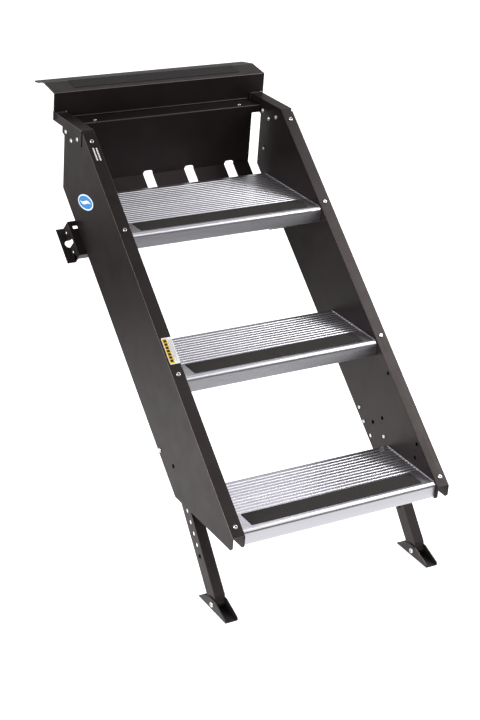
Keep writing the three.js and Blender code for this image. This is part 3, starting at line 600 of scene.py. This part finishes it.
def make_end_lips(i, low, high):
    """Thin bright weld lip where each end of a tread meets the stringer's web."""
    y0, y1 = low.y + END_LIP_INSETS[0], high.y - END_LIP_INSETS[1]
    foot, shoulder, top = high.z - END_LIP_SUNK, high.z + END_LIP_RISE * 0.7, high.z + END_LIP_RISE
    section = [(y0, foot), (y0 + 1.5 * MM, shoulder), (y0 + 4 * MM, top),
               (y1 - 4 * MM, top), (y1 - 1.5 * MM, shoulder), (y1, foot)]
    for side, sign in SIDES:
        x1 = sign * (INNER_X - END_LIP_GAP)
        x0 = x1 - sign * END_LIP
        bm = bmesh.new()
        loft_along_x(bm, section, min(x0, x1), max(x0, x1))
        add_piece(f"tread_{i}_end_lip_{side}", bm, ALUMINIUM, "stair")


# Tab under the top tread: its ends in X, and its [y, z] section from the lower front edge.
LIP_TAB_ENDS = (110 * MM, 156 * MM)
LIP_TAB_SECTION = ((1.2 * MM, 0.3 * MM), (1.6 * MM, -2.0 * MM), (2.4 * MM, -2.6 * MM),
                   (9.0 * MM, -2.6 * MM), (9.4 * MM, -2.2 * MM), (9.4 * MM, 0.3 * MM))


def make_lip_tab():
    """Short bent tab that shows below the front lip of the top tread, in the lighter coat that paints
    a highlight.
    """
    section = [(TOP_TREAD_LOW.y + y, TOP_TREAD_LOW.z + z) for y, z in LIP_TAB_SECTION]
    bm = bmesh.new()
    loft_along_x(bm, section, *LIP_TAB_ENDS)
    add_piece("tread_1_lip_tab", bm, HIGHLIGHT_COAT, "stair")


TAPE_CORNER = 2.5 * MM
TAPE_SUNK = 0.25 * MM


def make_grip_strip(i):
    low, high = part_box(f"grip_strip_{i}")
    centre = Vector(((low.x + high.x) / 2, (low.y + high.y) / 2, low.z - TAPE_SUNK))
    bm = bmesh.new()
    rounded_plate(bm, centre, X_AXIS, Y_AXIS, high.x - low.x, high.y - low.y,
                  high.z - low.z + TAPE_SUNK, TAPE_CORNER)
    add_piece(f"grip_strip_{i}_tape", bm, TREAD_GRIP, "stair", f"grip_strip_{i}")


# Thickness of the patch in the frame, thickness of the tape, and how far the tape's underside
# lies below the middle of the patch.
PATCH_SHEET = 0.8 * MM
PLATE_TAPE = 0.95 * MM
PLATE_TAPE_DROP = 0.6 * MM


def make_plate_grip():
    """Abrasive patch on the sloping top of the threshold plate."""
    low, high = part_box("threshold_grip")
    rise = math.atan2(high.z - low.z - PATCH_SHEET, high.y - low.y)
    along = Vector((0, math.cos(rise), math.sin(rise)))
    normal = Vector((0, -math.sin(rise), math.cos(rise)))
    centre = (low + high) / 2 - normal * PLATE_TAPE_DROP
    bm = bmesh.new()
    rounded_plate(bm, Vector((0, centre.y, centre.z)), X_AXIS, along, high.x - low.x,
                  (high.y - low.y) / math.cos(rise), PLATE_TAPE, TAPE_CORNER)
    add_piece("threshold_grip_tape", bm, PLATE_GRIP, "stair", "threshold_grip")


# ---------------------------------------------------------------- fasteners

HEAD_STEPS = 36
SEAT_GAP = 0.15 * MM
WEB_SEAT_GAP = 0.1 * MM
WASHER_GAP = 0.05 * MM
HEAD_ROOM = 2.8 * MM
SHANK = 2.8 * MM
SMALL_SOCKET = 0.3

FLANGE_SCREW = {"radius": 5.1 * MM, "height": 2.8 * MM, "shank": SHANK, "shank_length": 12 * MM}
ARM_BOLT = {"radius": 5.2 * MM, "height": 3.1 * MM}
ARM_BOLT_SHANK = {"shank": 3 * MM, "shank_length": 30.6 * MM}
PANEL_SCREW = {"radius": 4.4 * MM, "height": 2.0 * MM, "socket": SMALL_SOCKET}
SILL_SCREW = {"radius": 5.6 * MM, "height": 2.8 * MM}
FOOT_BOLT = {"radius": 6.2 * MM, "height": 3.5 * MM, "shank": 4 * MM}
FOOT_NUT = {"radius": 6.2 * MM, "height": 3.2 * MM, "bore": 3.6 * MM}
FOOT_NUT_ROOM = 4 * MM
OUTER_WEB_HEAD = {"radius": 5.4 * MM, "height": 2.8 * MM}
RIVET = {"radius": 4.0 * MM, "height": 1.6 * MM, "socket": SMALL_SOCKET}
INNER_WEB_HEAD = 2.2 * MM

# Dark disc at the bottom of each flange screw's socket, painted shade in the recess: its depth and
# outline.
SOCKET_DEPTH = 0.9 * MM
SOCKET_SHADE_DISC = ((0.0, 0.0), (2.6 * MM, 0.0), (2.6 * MM, 0.75 * MM), (1.5 * MM, 0.62 * MM),
               (0.0, 0.58 * MM))
WASHER = ((4.6 * MM, 0.0), (7.2 * MM, 0.0), (7.2 * MM, 0.5 * MM), (6.9 * MM, 0.8 * MM),
          (4.6 * MM, 0.8 * MM))
HOLE_PLUG = ((0.0, 0.0), (4.4 * MM, 0.0), (4.4 * MM, 1.2 * MM), (3.8 * MM, 1.6 * MM),
             (0.0, 1.6 * MM))
HOLE_PLUG_GAP = 0.6 * MM

# Places on the webs as [y, z]. Four bolts hold the leg guides and one is near the kick panel.
GUIDE_BOLTS = ((-644.2 * MM, -570.7 * MM), (-667.6 * MM, -596.5 * MM),
               (-749.6 * MM, -596.9 * MM), (-750.5 * MM, -629.8 * MM))
PANEL_BOLT = (-140.2 * MM, -96.6 * MM)
OUTER_WEB_BOLT = (-640.2 * MM, -573.7 * MM)
PLUGGED_HOLE = (-425.6 * MM, -390 * MM)
GUIDE_BOLT_RADIUS = 4.4 * MM
PANEL_BOLT_RADIUS = 3.6 * MM

# Rivets of the latch bracket: X, height over the flange's plane, and places along the slope.
RIVET_X = -298.1 * MM
RIVET_LIFT = -207.6 * MM
RIVETS_ALONG = (-130 * MM, -79 * MM)


def button_head(bm, place, direction, radius, height, socket=0.48, shank=0.0, shank_length=0.0):
    """Low domed head with a hexagon socket, seated at place, with a shank behind it if asked.

    The socket's size is a share of the head's radius.
    """
    dome = [(radius, 0.0), (radius, 0.22 * height)]
    for share in (0.25, 0.5, 0.75, 0.92):
        angle = share * math.pi / 2
        dome.append((radius * (0.62 + 0.38 * math.cos(angle)),
                     height * (0.22 + 0.78 * math.sin(angle))))
    outline = dome + [(radius * (socket + 0.06), height), (radius * socket, height * 0.97),
                      (radius * socket * 0.97, height * 0.42), (0.0, height * 0.34)]
    first = len(dome)
    if shank:
        behind = [(0.0, -shank_length), (shank * 0.8, -shank_length),
                  (shank, -shank_length + shank * 0.3), (shank, -0.1 * MM)]
        outline = behind + outline
        first += len(behind)
    lathe(bm, outline, place, direction, HEAD_STEPS, hexed=(first + 1, first + 2))


def hex_nut(bm, place, direction, radius, height, bore):
    """Nut with chamfered corners and the end of the shank standing in it."""
    outline = [(radius * 0.93, 0.0), (radius, height * 0.14), (radius, height * 0.8),
               (radius * 0.9, height), (bore * 1.12, height), (bore * 1.02, height * 0.82),
               (bore, height * 1.2), (0.0, height * 1.24)]
    lathe(bm, outline, place, direction, HEAD_STEPS, hexed=(0, 1, 2, 3))


def centre_of(node):
    low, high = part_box(node)
    return (low + high) / 2


def make_flange_screws():
    """Screws down the front flanges, with a dark disc at the bottom of each socket as painted shade.
    """
    for side, _ in SIDES:
        socket_shade = bmesh.new()
        for k in (1, 2, 3, 4):
            node = f"flange_screw_{side}_{k}"
            middle = centre_of(node)
            along = (middle - FIRST_NOSE).dot(DOWN_SLOPE)
            bm = bmesh.new()
            seat = on_flange(middle.x, along, SEAT_GAP)
            button_head(bm, seat, FLANGE_NORMAL, **FLANGE_SCREW)
            add_piece(f"{node}_button", bm, ZINC, "stair", node)
            bottom = on_flange(middle.x, along, SOCKET_DEPTH)
            lathe(socket_shade, SOCKET_SHADE_DISC, bottom, FLANGE_NORMAL, HEAD_STEPS, hexed=(1, 2))
        add_piece(f"flange_screw_socket_shade_{side}", socket_shade, INK_AND_SHADE, "stair")


def make_arm_bolts():
    """Bolts through each channel, with a head on the outer web and one on the inner web."""
    for side, sign in SIDES:
        outward = Vector((sign, 0, 0))
        for k in (1, 2, 3):
            node = f"arm_bolt_{side}_{k}"
            middle = centre_of(node)
            bm = bmesh.new()
            seat = Vector((sign * (OUTER_X + SEAT_GAP), middle.y, middle.z))
            button_head(bm, seat, outward, **ARM_BOLT, **ARM_BOLT_SHANK)
            seat = Vector((sign * (INNER_X - SEAT_GAP), middle.y, middle.z))
            button_head(bm, seat, -outward, **ARM_BOLT)
            add_piece(f"{node}_button", bm, ZINC, "stair", node)


def upright_screw(node, body, head):
    """Screw that stands upright where the CAD node is."""
    low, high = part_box(node)
    middle = (low + high) / 2
    bm = bmesh.new()
    seat = Vector((middle.x, middle.y, high.z - HEAD_ROOM))
    button_head(bm, seat, UP, **head, shank=SHANK, shank_length=high.z - low.z - HEAD_ROOM)
    add_piece(f"{node}_button", bm, ZINC, body, node)


def make_upright_screws():
    for side, _ in SIDES:
        upright_screw(f"panel_screw_{side}", "stair", PANEL_SCREW)
    for k in (1, 2, 3, 4):
        upright_screw(f"sill_screw_{k}", "sill", SILL_SCREW)


def make_foot_bolts():
    """Bolt through each foot, its head on the left and its nut on the right."""
    for side, _ in SIDES:
        node = f"foot_bolt_{side}"
        low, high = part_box(node)
        middle = (low + high) / 2
        bm = bmesh.new()
        seat = Vector((low.x + FOOT_BOLT["height"], middle.y, middle.z))
        button_head(bm, seat, -X_AXIS, **FOOT_BOLT,
                    shank_length=high.x - seat.x - FOOT_NUT["height"])
        seat = Vector((high.x - FOOT_NUT_ROOM, middle.y, middle.z))
        hex_nut(bm, seat, X_AXIS, **FOOT_NUT)
        add_piece(f"{node}_button", bm, ZINC, BODY_OF[node], node)


def make_web_bolts():
    """Heads on both webs of each channel, and a washer under the one near the kick panel."""
    heads = [(at, GUIDE_BOLT_RADIUS) for at in GUIDE_BOLTS] + [(PANEL_BOLT, PANEL_BOLT_RADIUS)]
    for side, sign in SIDES:
        inward = Vector((-sign, 0, 0))
        bm = bmesh.new()
        for at, radius in heads:
            seat = Vector((sign * (INNER_X - WEB_SEAT_GAP), *at))
            button_head(bm, seat, inward, radius, INNER_WEB_HEAD)
        seat = Vector((sign * (OUTER_X + WEB_SEAT_GAP), *OUTER_WEB_BOLT))
        button_head(bm, seat, -inward, **OUTER_WEB_HEAD)
        add_piece(f"web_bolts_{side}", bm, ZINC, "stair")
        bm = bmesh.new()
        lathe_ring(bm, WASHER, Vector((sign * (INNER_X - WASHER_GAP), *PANEL_BOLT)), inward)
        add_piece(f"panel_bolt_washer_{side}", bm, NYLON, "stair")


def make_hole_plugs():
    """Dark plug in the upper spare hole of each inner web."""
    for side, sign in SIDES:
        bm = bmesh.new()
        place = Vector((sign * (INNER_X + HOLE_PLUG_GAP), *PLUGGED_HOLE))
        lathe(bm, HOLE_PLUG, place, Vector((sign, 0, 0)))
        add_piece(f"hole_plug_{side}", bm, NYLON, "stair")


def make_latch_rivets():
    bm = bmesh.new()
    for along in RIVETS_ALONG:
        button_head(bm, on_flange(RIVET_X, along, RIVET_LIFT), -X_AXIS, **RIVET)
    add_piece("latch_rivets", bm, ZINC, "stair")


# ---------------------------------------------------------------- laps, painted shadows and rolled edges

# Section of the lap as [y, z] from the corner where the top and front flanges meet.
LAP_SECTION = ((-1.3 * MM, -1.9 * MM), (-1.5 * MM, -0.6 * MM), (-0.8 * MM, 0.15 * MM),
               (9 * MM, 0.15 * MM), (9 * MM, -0.5 * MM), (0.6 * MM, -1.9 * MM))
LAP_INSET = 1.2 * MM
LAP_EDGE = 0.25 * MM
LAP_ANGLE = 30
# Dark strip below each lap, a painted shadow of the lap: its drop, inset, width, sheet and corner.
LAP_SHADOW_DROP = 3.4 * MM
LAP_SHADOW_INSET = 2.5 * MM
LAP_SHADOW_WIDTH = 2.6 * MM
LAP_SHADOW_SHEET = 0.15 * MM
LAP_SHADOW_CORNER = 0.6 * MM


def make_laps_and_shadows():
    """Proud lap where a channel's top flange meets its front flange, and a dark strip below it that
    paints the lap's shadow.
    """
    top = CHANNEL_HIGH.z
    front_y = FIRST_NOSE.y + (top - FIRST_NOSE.z) / math.tan(SLOPE)
    flange_top = math.hypot(front_y - FIRST_NOSE.y, top - FIRST_NOSE.z)
    lap = [(front_y + y, top + z) for y, z in LAP_SECTION]
    for side, sign in SIDES:
        bm = bmesh.new()
        x0, x1 = sign * (INNER_X + LAP_INSET), sign * (OUTER_X - LAP_INSET)
        loft_along_x(bm, lap, min(x0, x1), max(x0, x1))
        bmesh.ops.bevel(bm, geom=sharp_edges(bm, LAP_ANGLE), offset=LAP_EDGE, segments=2,
                        profile=0.5, affect="EDGES")
        add_piece(f"flange_lap_{side}", bm, BLACK, "stair")
        bm = bmesh.new()
        centre = on_flange(sign * MIDDLE_X, LAP_SHADOW_DROP - flange_top)
        rounded_plate(bm, centre, X_AXIS, -DOWN_SLOPE, OUTER_X - INNER_X - 2 * LAP_SHADOW_INSET,
                      LAP_SHADOW_WIDTH, LAP_SHADOW_SHEET, LAP_SHADOW_CORNER, 2)
        add_piece(f"flange_lap_shadow_{side}", bm, INK_AND_SHADE, "stair")


# Rolled edges in a lighter coat that paints the light they catch: name, [y, z] of the corner, radius
# and half length.
ROLLED_EDGES = (("panel_top_edge", (-113.2 * MM, 5.5 * MM), 1.4 * MM, 245 * MM),
                ("threshold_low_edge", (-62.9 * MM, 8.3 * MM), 1.3 * MM, 240 * MM))
BEAD_SIDES = 15


def make_rolled_edges():
    for name, (y, z), radius, half_length in ROLLED_EDGES:
        bm = bmesh.new()
        section = arc(y, z, radius, 0, 360 - 360 / BEAD_SIDES, BEAD_SIDES - 1)
        loft_along_x(bm, section, -half_length, half_length)
        add_piece(name, bm, HIGHLIGHT_BEAD_COAT, "stair", sharp=40)


# ---------------------------------------------------------------- badge and labels, left channel

BADGE_PLACE = Vector((-OUTER_X, -235.0 * MM, -138.2 * MM))
BADGE_TILT = math.radians(10.75)
BADGE_ACROSS = Vector((0, -math.cos(BADGE_TILT), math.sin(BADGE_TILT)))
BADGE_ALONG = BADGE_ACROSS.cross(-X_AXIS)
BADGE_SHEET = 0.22 * MM
# Ovals of the badge from the web outwards: name, material, half axes and lift.
BADGE_OVALS = (("badge_rim", RIM_FILM, 39.8 * MM, 18.3 * MM, 0.0),
               ("badge_ring", WHITE_FILM, 38.2 * MM, 17.4 * MM, 0.16 * MM),
               ("badge_field", BLUE_FILM, 34.8 * MM, 15.0 * MM, 0.32 * MM))
WAVE_LIFT = 0.5 * MM
WAVE_LENGTH = 52 * MM
WAVE_SWING = 2.4 * MM
WAVE_SWELL = 3.4 * MM
WAVE_TIP = 0.3 * MM
WAVE_SHEET = 0.15 * MM


def on_badge(u, v, lift):
    return BADGE_PLACE + BADGE_ACROSS * u + BADGE_ALONG * v - X_AXIS * lift


def make_badge():
    """Oval badge on the left outer web: pale rim, white ring, blue field and a white wave."""
    for name, material, half_u, half_v, lift in BADGE_OVALS:
        bm = bmesh.new()
        oval_plate(bm, half_u, half_v, lift)
        add_piece(name, bm, material, "stair")
    bm = bmesh.new()
    wave_band(bm)
    add_piece("badge_wave", bm, WHITE_FILM, "stair")


def oval_plate(bm, half_u, half_v, lift):
    """Oval film on the badge's plane with its upper rim drawn in a little."""
    steps = 48
    angles = [2 * math.pi * k / steps for k in range(steps)]
    rings = []
    for shrink, share in ((1.0, 0.0), (1.0, 0.6), (0.985, 1.0)):
        rings.append([bm.verts.new(on_badge(half_u * shrink * math.cos(t),
                                            half_v * shrink * math.sin(t),
                                            lift + BADGE_SHEET * share)) for t in angles])
    skin(bm, rings)


def wave_band(bm):
    """Band that swells in the middle and swings once to each side."""
    steps = 20
    rows = []
    for k in range(steps + 1):
        share = k / steps
        u = (share - 0.5) * WAVE_LENGTH
        middle = WAVE_SWING * math.sin(2 * math.pi * share)
        half = WAVE_SWELL * math.sin(math.pi * min(max(share, 0.04), 0.96)) + WAVE_TIP
        rows.append([bm.verts.new(on_badge(u, middle + side * half, WAVE_LIFT + lift))
                     for side, lift in ((-1, 0), (1, 0), (1, WAVE_SHEET), (-1, WAVE_SHEET))])
    skin(bm, rows)


# Columns of plain marks high on the flange: X and the place of the first mark along the slope.
MARK_COLUMNS = ((-266.4 * MM, -225.5 * MM), (-258.6 * MM, -224.5 * MM))
MARK_COUNT = 8
MARK_PITCH = 4.2 * MM
MARK_SIZE = (3.6 * MM, 3.4 * MM)
MARK_SHEET = 0.15 * MM

# The label is a white film with a yellow strip, dark blocks on the strip and grey lines beside it.
LABEL_ALONG = 285.75 * MM
LABEL_X = -261.1 * MM
LABEL_SIZE = (24.8 * MM, 63.5 * MM)
LABEL_SHEET = 0.2 * MM
STRIP_X = -266.9 * MM
STRIP_SIZE = (11.0 * MM, 59.5 * MM)
STRIP_SHEET = 0.1 * MM
BLOCK_COUNT = 7
BLOCK_START = 262.2 * MM
BLOCK_PITCH = 7.85 * MM
BLOCK_SIZE = (7.2 * MM, 5.9 * MM)
LINE_LENGTHS = (50 * MM, 44 * MM, 52 * MM, 38 * MM)
LINE_START = 260 * MM
LINE_X = -259.6 * MM
LINE_PITCH = 2.6 * MM
LINE_WIDTH = 0.9 * MM
PRINT_SHEET = 0.08 * MM


def add_film(name, material, plates, thickness, lift, radius):
    """Thin plates on the left front flange as one piece; a plate is [x, along, width, length]."""
    bm = bmesh.new()
    for x, along, width, length in plates:
        rounded_plate(bm, on_flange(x, along, lift), X_AXIS, -DOWN_SLOPE, width, length,
                      thickness, radius, 3)
    add_piece(name, bm, material, "stair")


def make_flange_labels():
    marks = [(x, first + k * MARK_PITCH, *MARK_SIZE)
             for x, first in MARK_COLUMNS for k in range(MARK_COUNT)]
    blocks = [(STRIP_X, BLOCK_START + BLOCK_PITCH * k, *BLOCK_SIZE) for k in range(BLOCK_COUNT)]
    lines = [(LINE_X + LINE_PITCH * row, LINE_START + length / 2, LINE_WIDTH, length)
             for row, length in enumerate(LINE_LENGTHS)]
    label = [(LABEL_X, LABEL_ALONG, *LABEL_SIZE)]
    strip = [(STRIP_X, LABEL_ALONG, *STRIP_SIZE)]
    add_film("channel_marks", WHITE_FILM, marks, MARK_SHEET, lift=0.0, radius=0.4 * MM)
    add_film("notice_label", WHITE_FILM, label, LABEL_SHEET, lift=0.0, radius=1.2 * MM)
    add_film("notice_label_strip", YELLOW_FILM, strip, STRIP_SHEET, lift=LABEL_SHEET,
             radius=0.6 * MM)
    add_film("notice_label_blocks", INK_AND_SHADE, blocks, PRINT_SHEET, lift=LABEL_SHEET + STRIP_SHEET,
             radius=0.5 * MM)
    add_film("notice_label_lines", GREY_INK, lines, PRINT_SHEET, lift=LABEL_SHEET,
             radius=0.3 * MM)


# ---------------------------------------------------------------- stage and light

FLOOR_HALF = 12.0
FLOOR_CELLS = 24
FLOOR_GAP = 0.5 * MM
FLOOR_TONE = (0.9, 0.9, 0.9, 1)
FLOOR_LIFT = 0.8

# Light given off by the floor along Y: a bright sweep under the object, a dim band behind it.
FLOOR_GLOW = ((-2.2, 0.14), (-1.7, 0.33), (-1.5, 0.27), (-1.35, 0.78), (-1.15, 1.15), (-0.8, 1.28),
              (-0.3, 1.56), (0.2, 1.06), (0.5, 0.46), (0.8, 0.02), (1.1, 0.02), (1.6, 0.75))
# Light given off by the surroundings along the Y of its direction, near the horizon and high up.
LOW_WORLD = ((-0.6, 0.02), (0.0, 0.02), (0.5, 0.41), (0.8, 0.43))
HIGH_WORLD = ((-0.6, 1.36), (-0.3, 0.58), (0.0, 0.02), (0.5, 1.10), (0.8, 0.75))
HORIZON_BAND = (0.25, 0.55)

# Soft boxes: name, place, direction of the back, size and power in watts.
SOFT_BOXES = (("key_right", (2.025, -1.25, 1.3), (0, 0, 1), (0.75, 1.9), 50),
              ("key_near", (1.7, -0.85, 1.3), (0, 0, 1), (1.2, 1.0), 13),
              ("fill_left", (-3.26, -0.99, 0.465), (-1, -0.15, 0.25), (2.4, 1.6), 92))


def make_stage():
    bm = bmesh.new()
    grid = bmesh.ops.create_grid(bm, x_segments=FLOOR_CELLS, y_segments=FLOOR_CELLS, size=FLOOR_HALF)
    for v in grid["verts"]:
        v.co.z = SOLE_Z - FLOOR_GAP
    mesh = bpy.data.meshes.new("floor")
    bm.to_mesh(mesh)
    bm.free()
    floor = bpy.data.objects.new("floor", mesh)
    bpy.context.collection.objects.link(floor)
    mesh.materials.append(floor_material())


def graded(tree, source, stops):
    """Strength that runs through [position, value] stops along a coordinate."""
    low, high = stops[0][0], stops[-1][0]
    peak = max(value for _, value in stops)
    share = tree.nodes.new("ShaderNodeMapRange")
    share.inputs["From Min"].default_value = low
    share.inputs["From Max"].default_value = high
    tree.links.new(source, share.inputs["Value"])
    ramp = tree.nodes.new("ShaderNodeValToRGB")
    points = ramp.color_ramp.elements
    for position, _ in stops[1:-1]:
        points.new((position - low) / (high - low))
    for point, (_, value) in zip(points, stops):
        point.color = (value / peak, value / peak, value / peak, 1)
    tree.links.new(share.outputs["Result"], ramp.inputs["Fac"])
    scaled = tree.nodes.new("ShaderNodeMath")
    scaled.operation = "MULTIPLY"
    scaled.inputs[1].default_value = peak
    tree.links.new(ramp.outputs["Color"], scaled.inputs[0])
    return scaled.outputs[0]


def link_by_eye(tree, glow, seen, out):
    """One shader lights the object; the other is what the camera sees of the surface itself."""
    path = tree.nodes.new("ShaderNodeLightPath")
    mix = tree.nodes.new("ShaderNodeMixShader")
    tree.links.new(path.outputs["Is Camera Ray"], mix.inputs[0])
    tree.links.new(glow.outputs[0], mix.inputs[1])
    tree.links.new(seen.outputs[0], mix.inputs[2])
    tree.links.new(mix.outputs[0], out.inputs["Surface"])


def floor_material():
    """Pale studio sweep: white to the eye, graded where it lights the object."""
    material = bpy.data.materials.new("studio_floor")
    material.use_nodes = True
    tree = material.node_tree
    tree.nodes.remove(tree.nodes["Principled BSDF"])
    place = tree.nodes.new("ShaderNodeTexCoord")
    split = tree.nodes.new("ShaderNodeSeparateXYZ")
    tree.links.new(place.outputs["Object"], split.inputs[0])
    glow = tree.nodes.new("ShaderNodeEmission")
    tree.links.new(graded(tree, split.outputs["Y"], FLOOR_GLOW), glow.inputs["Strength"])
    matt = tree.nodes.new("ShaderNodeBsdfDiffuse")
    matt.inputs["Color"].default_value = FLOOR_TONE
    lift = tree.nodes.new("ShaderNodeEmission")
    lift.inputs["Strength"].default_value = FLOOR_LIFT
    seen = tree.nodes.new("ShaderNodeAddShader")
    tree.links.new(matt.outputs[0], seen.inputs[0])
    tree.links.new(lift.outputs[0], seen.inputs[1])
    link_by_eye(tree, glow, seen, tree.nodes["Material Output"])
    return material


def make_world():
    """White to the eye; as a light it is dim overhead, at the sides and along the front horizon."""
    world = bpy.data.worlds.new("studio")
    bpy.context.scene.world = world
    world.use_nodes = True
    tree = world.node_tree
    seen = tree.nodes["Background"]
    seen.inputs["Color"].default_value = (1, 1, 1, 1)
    seen.inputs["Strength"].default_value = 1.0
    place = tree.nodes.new("ShaderNodeTexCoord")
    split = tree.nodes.new("ShaderNodeSeparateXYZ")
    tree.links.new(place.outputs["Generated"], split.inputs[0])
    lift = tree.nodes.new("ShaderNodeMapRange")
    lift.inputs["From Min"].default_value, lift.inputs["From Max"].default_value = HORIZON_BAND
    tree.links.new(split.outputs["Z"], lift.inputs["Value"])
    blend = tree.nodes.new("ShaderNodeMix")
    tree.links.new(lift.outputs["Result"], blend.inputs[0])
    tree.links.new(graded(tree, split.outputs["Y"], LOW_WORLD), blend.inputs[2])
    tree.links.new(graded(tree, split.outputs["Y"], HIGH_WORLD), blend.inputs[3])
    glow = tree.nodes.new("ShaderNodeBackground")
    tree.links.new(blend.outputs[0], glow.inputs["Strength"])
    link_by_eye(tree, glow, seen, tree.nodes["World Output"])


def make_lights():
    for name, place, behind, size, watts in SOFT_BOXES:
        data = bpy.data.lights.new(name, "AREA")
        data.shape = "RECTANGLE"
        data.size, data.size_y = size
        data.energy = watts
        light = bpy.data.objects.new(name, data)
        light.location = place
        light.rotation_mode = "QUATERNION"
        light.rotation_quaternion = Vector(behind).to_track_quat("Z", "Y")
        bpy.context.collection.objects.link(light)


# ---------------------------------------------------------------- build

make_camera()
make_pressings()
make_treads()
make_lip_tab()
make_plate_grip()
make_flange_screws()
make_arm_bolts()
make_upright_screws()
make_foot_bolts()
make_web_bolts()
make_laps_and_shadows()
make_rolled_edges()
make_hole_plugs()
make_latch_rivets()
make_badge()
make_flange_labels()
make_stage()
make_world()
make_lights()
bpy.context.scene.view_settings.view_transform = "Standard"

bpy.context.view_layer.update()
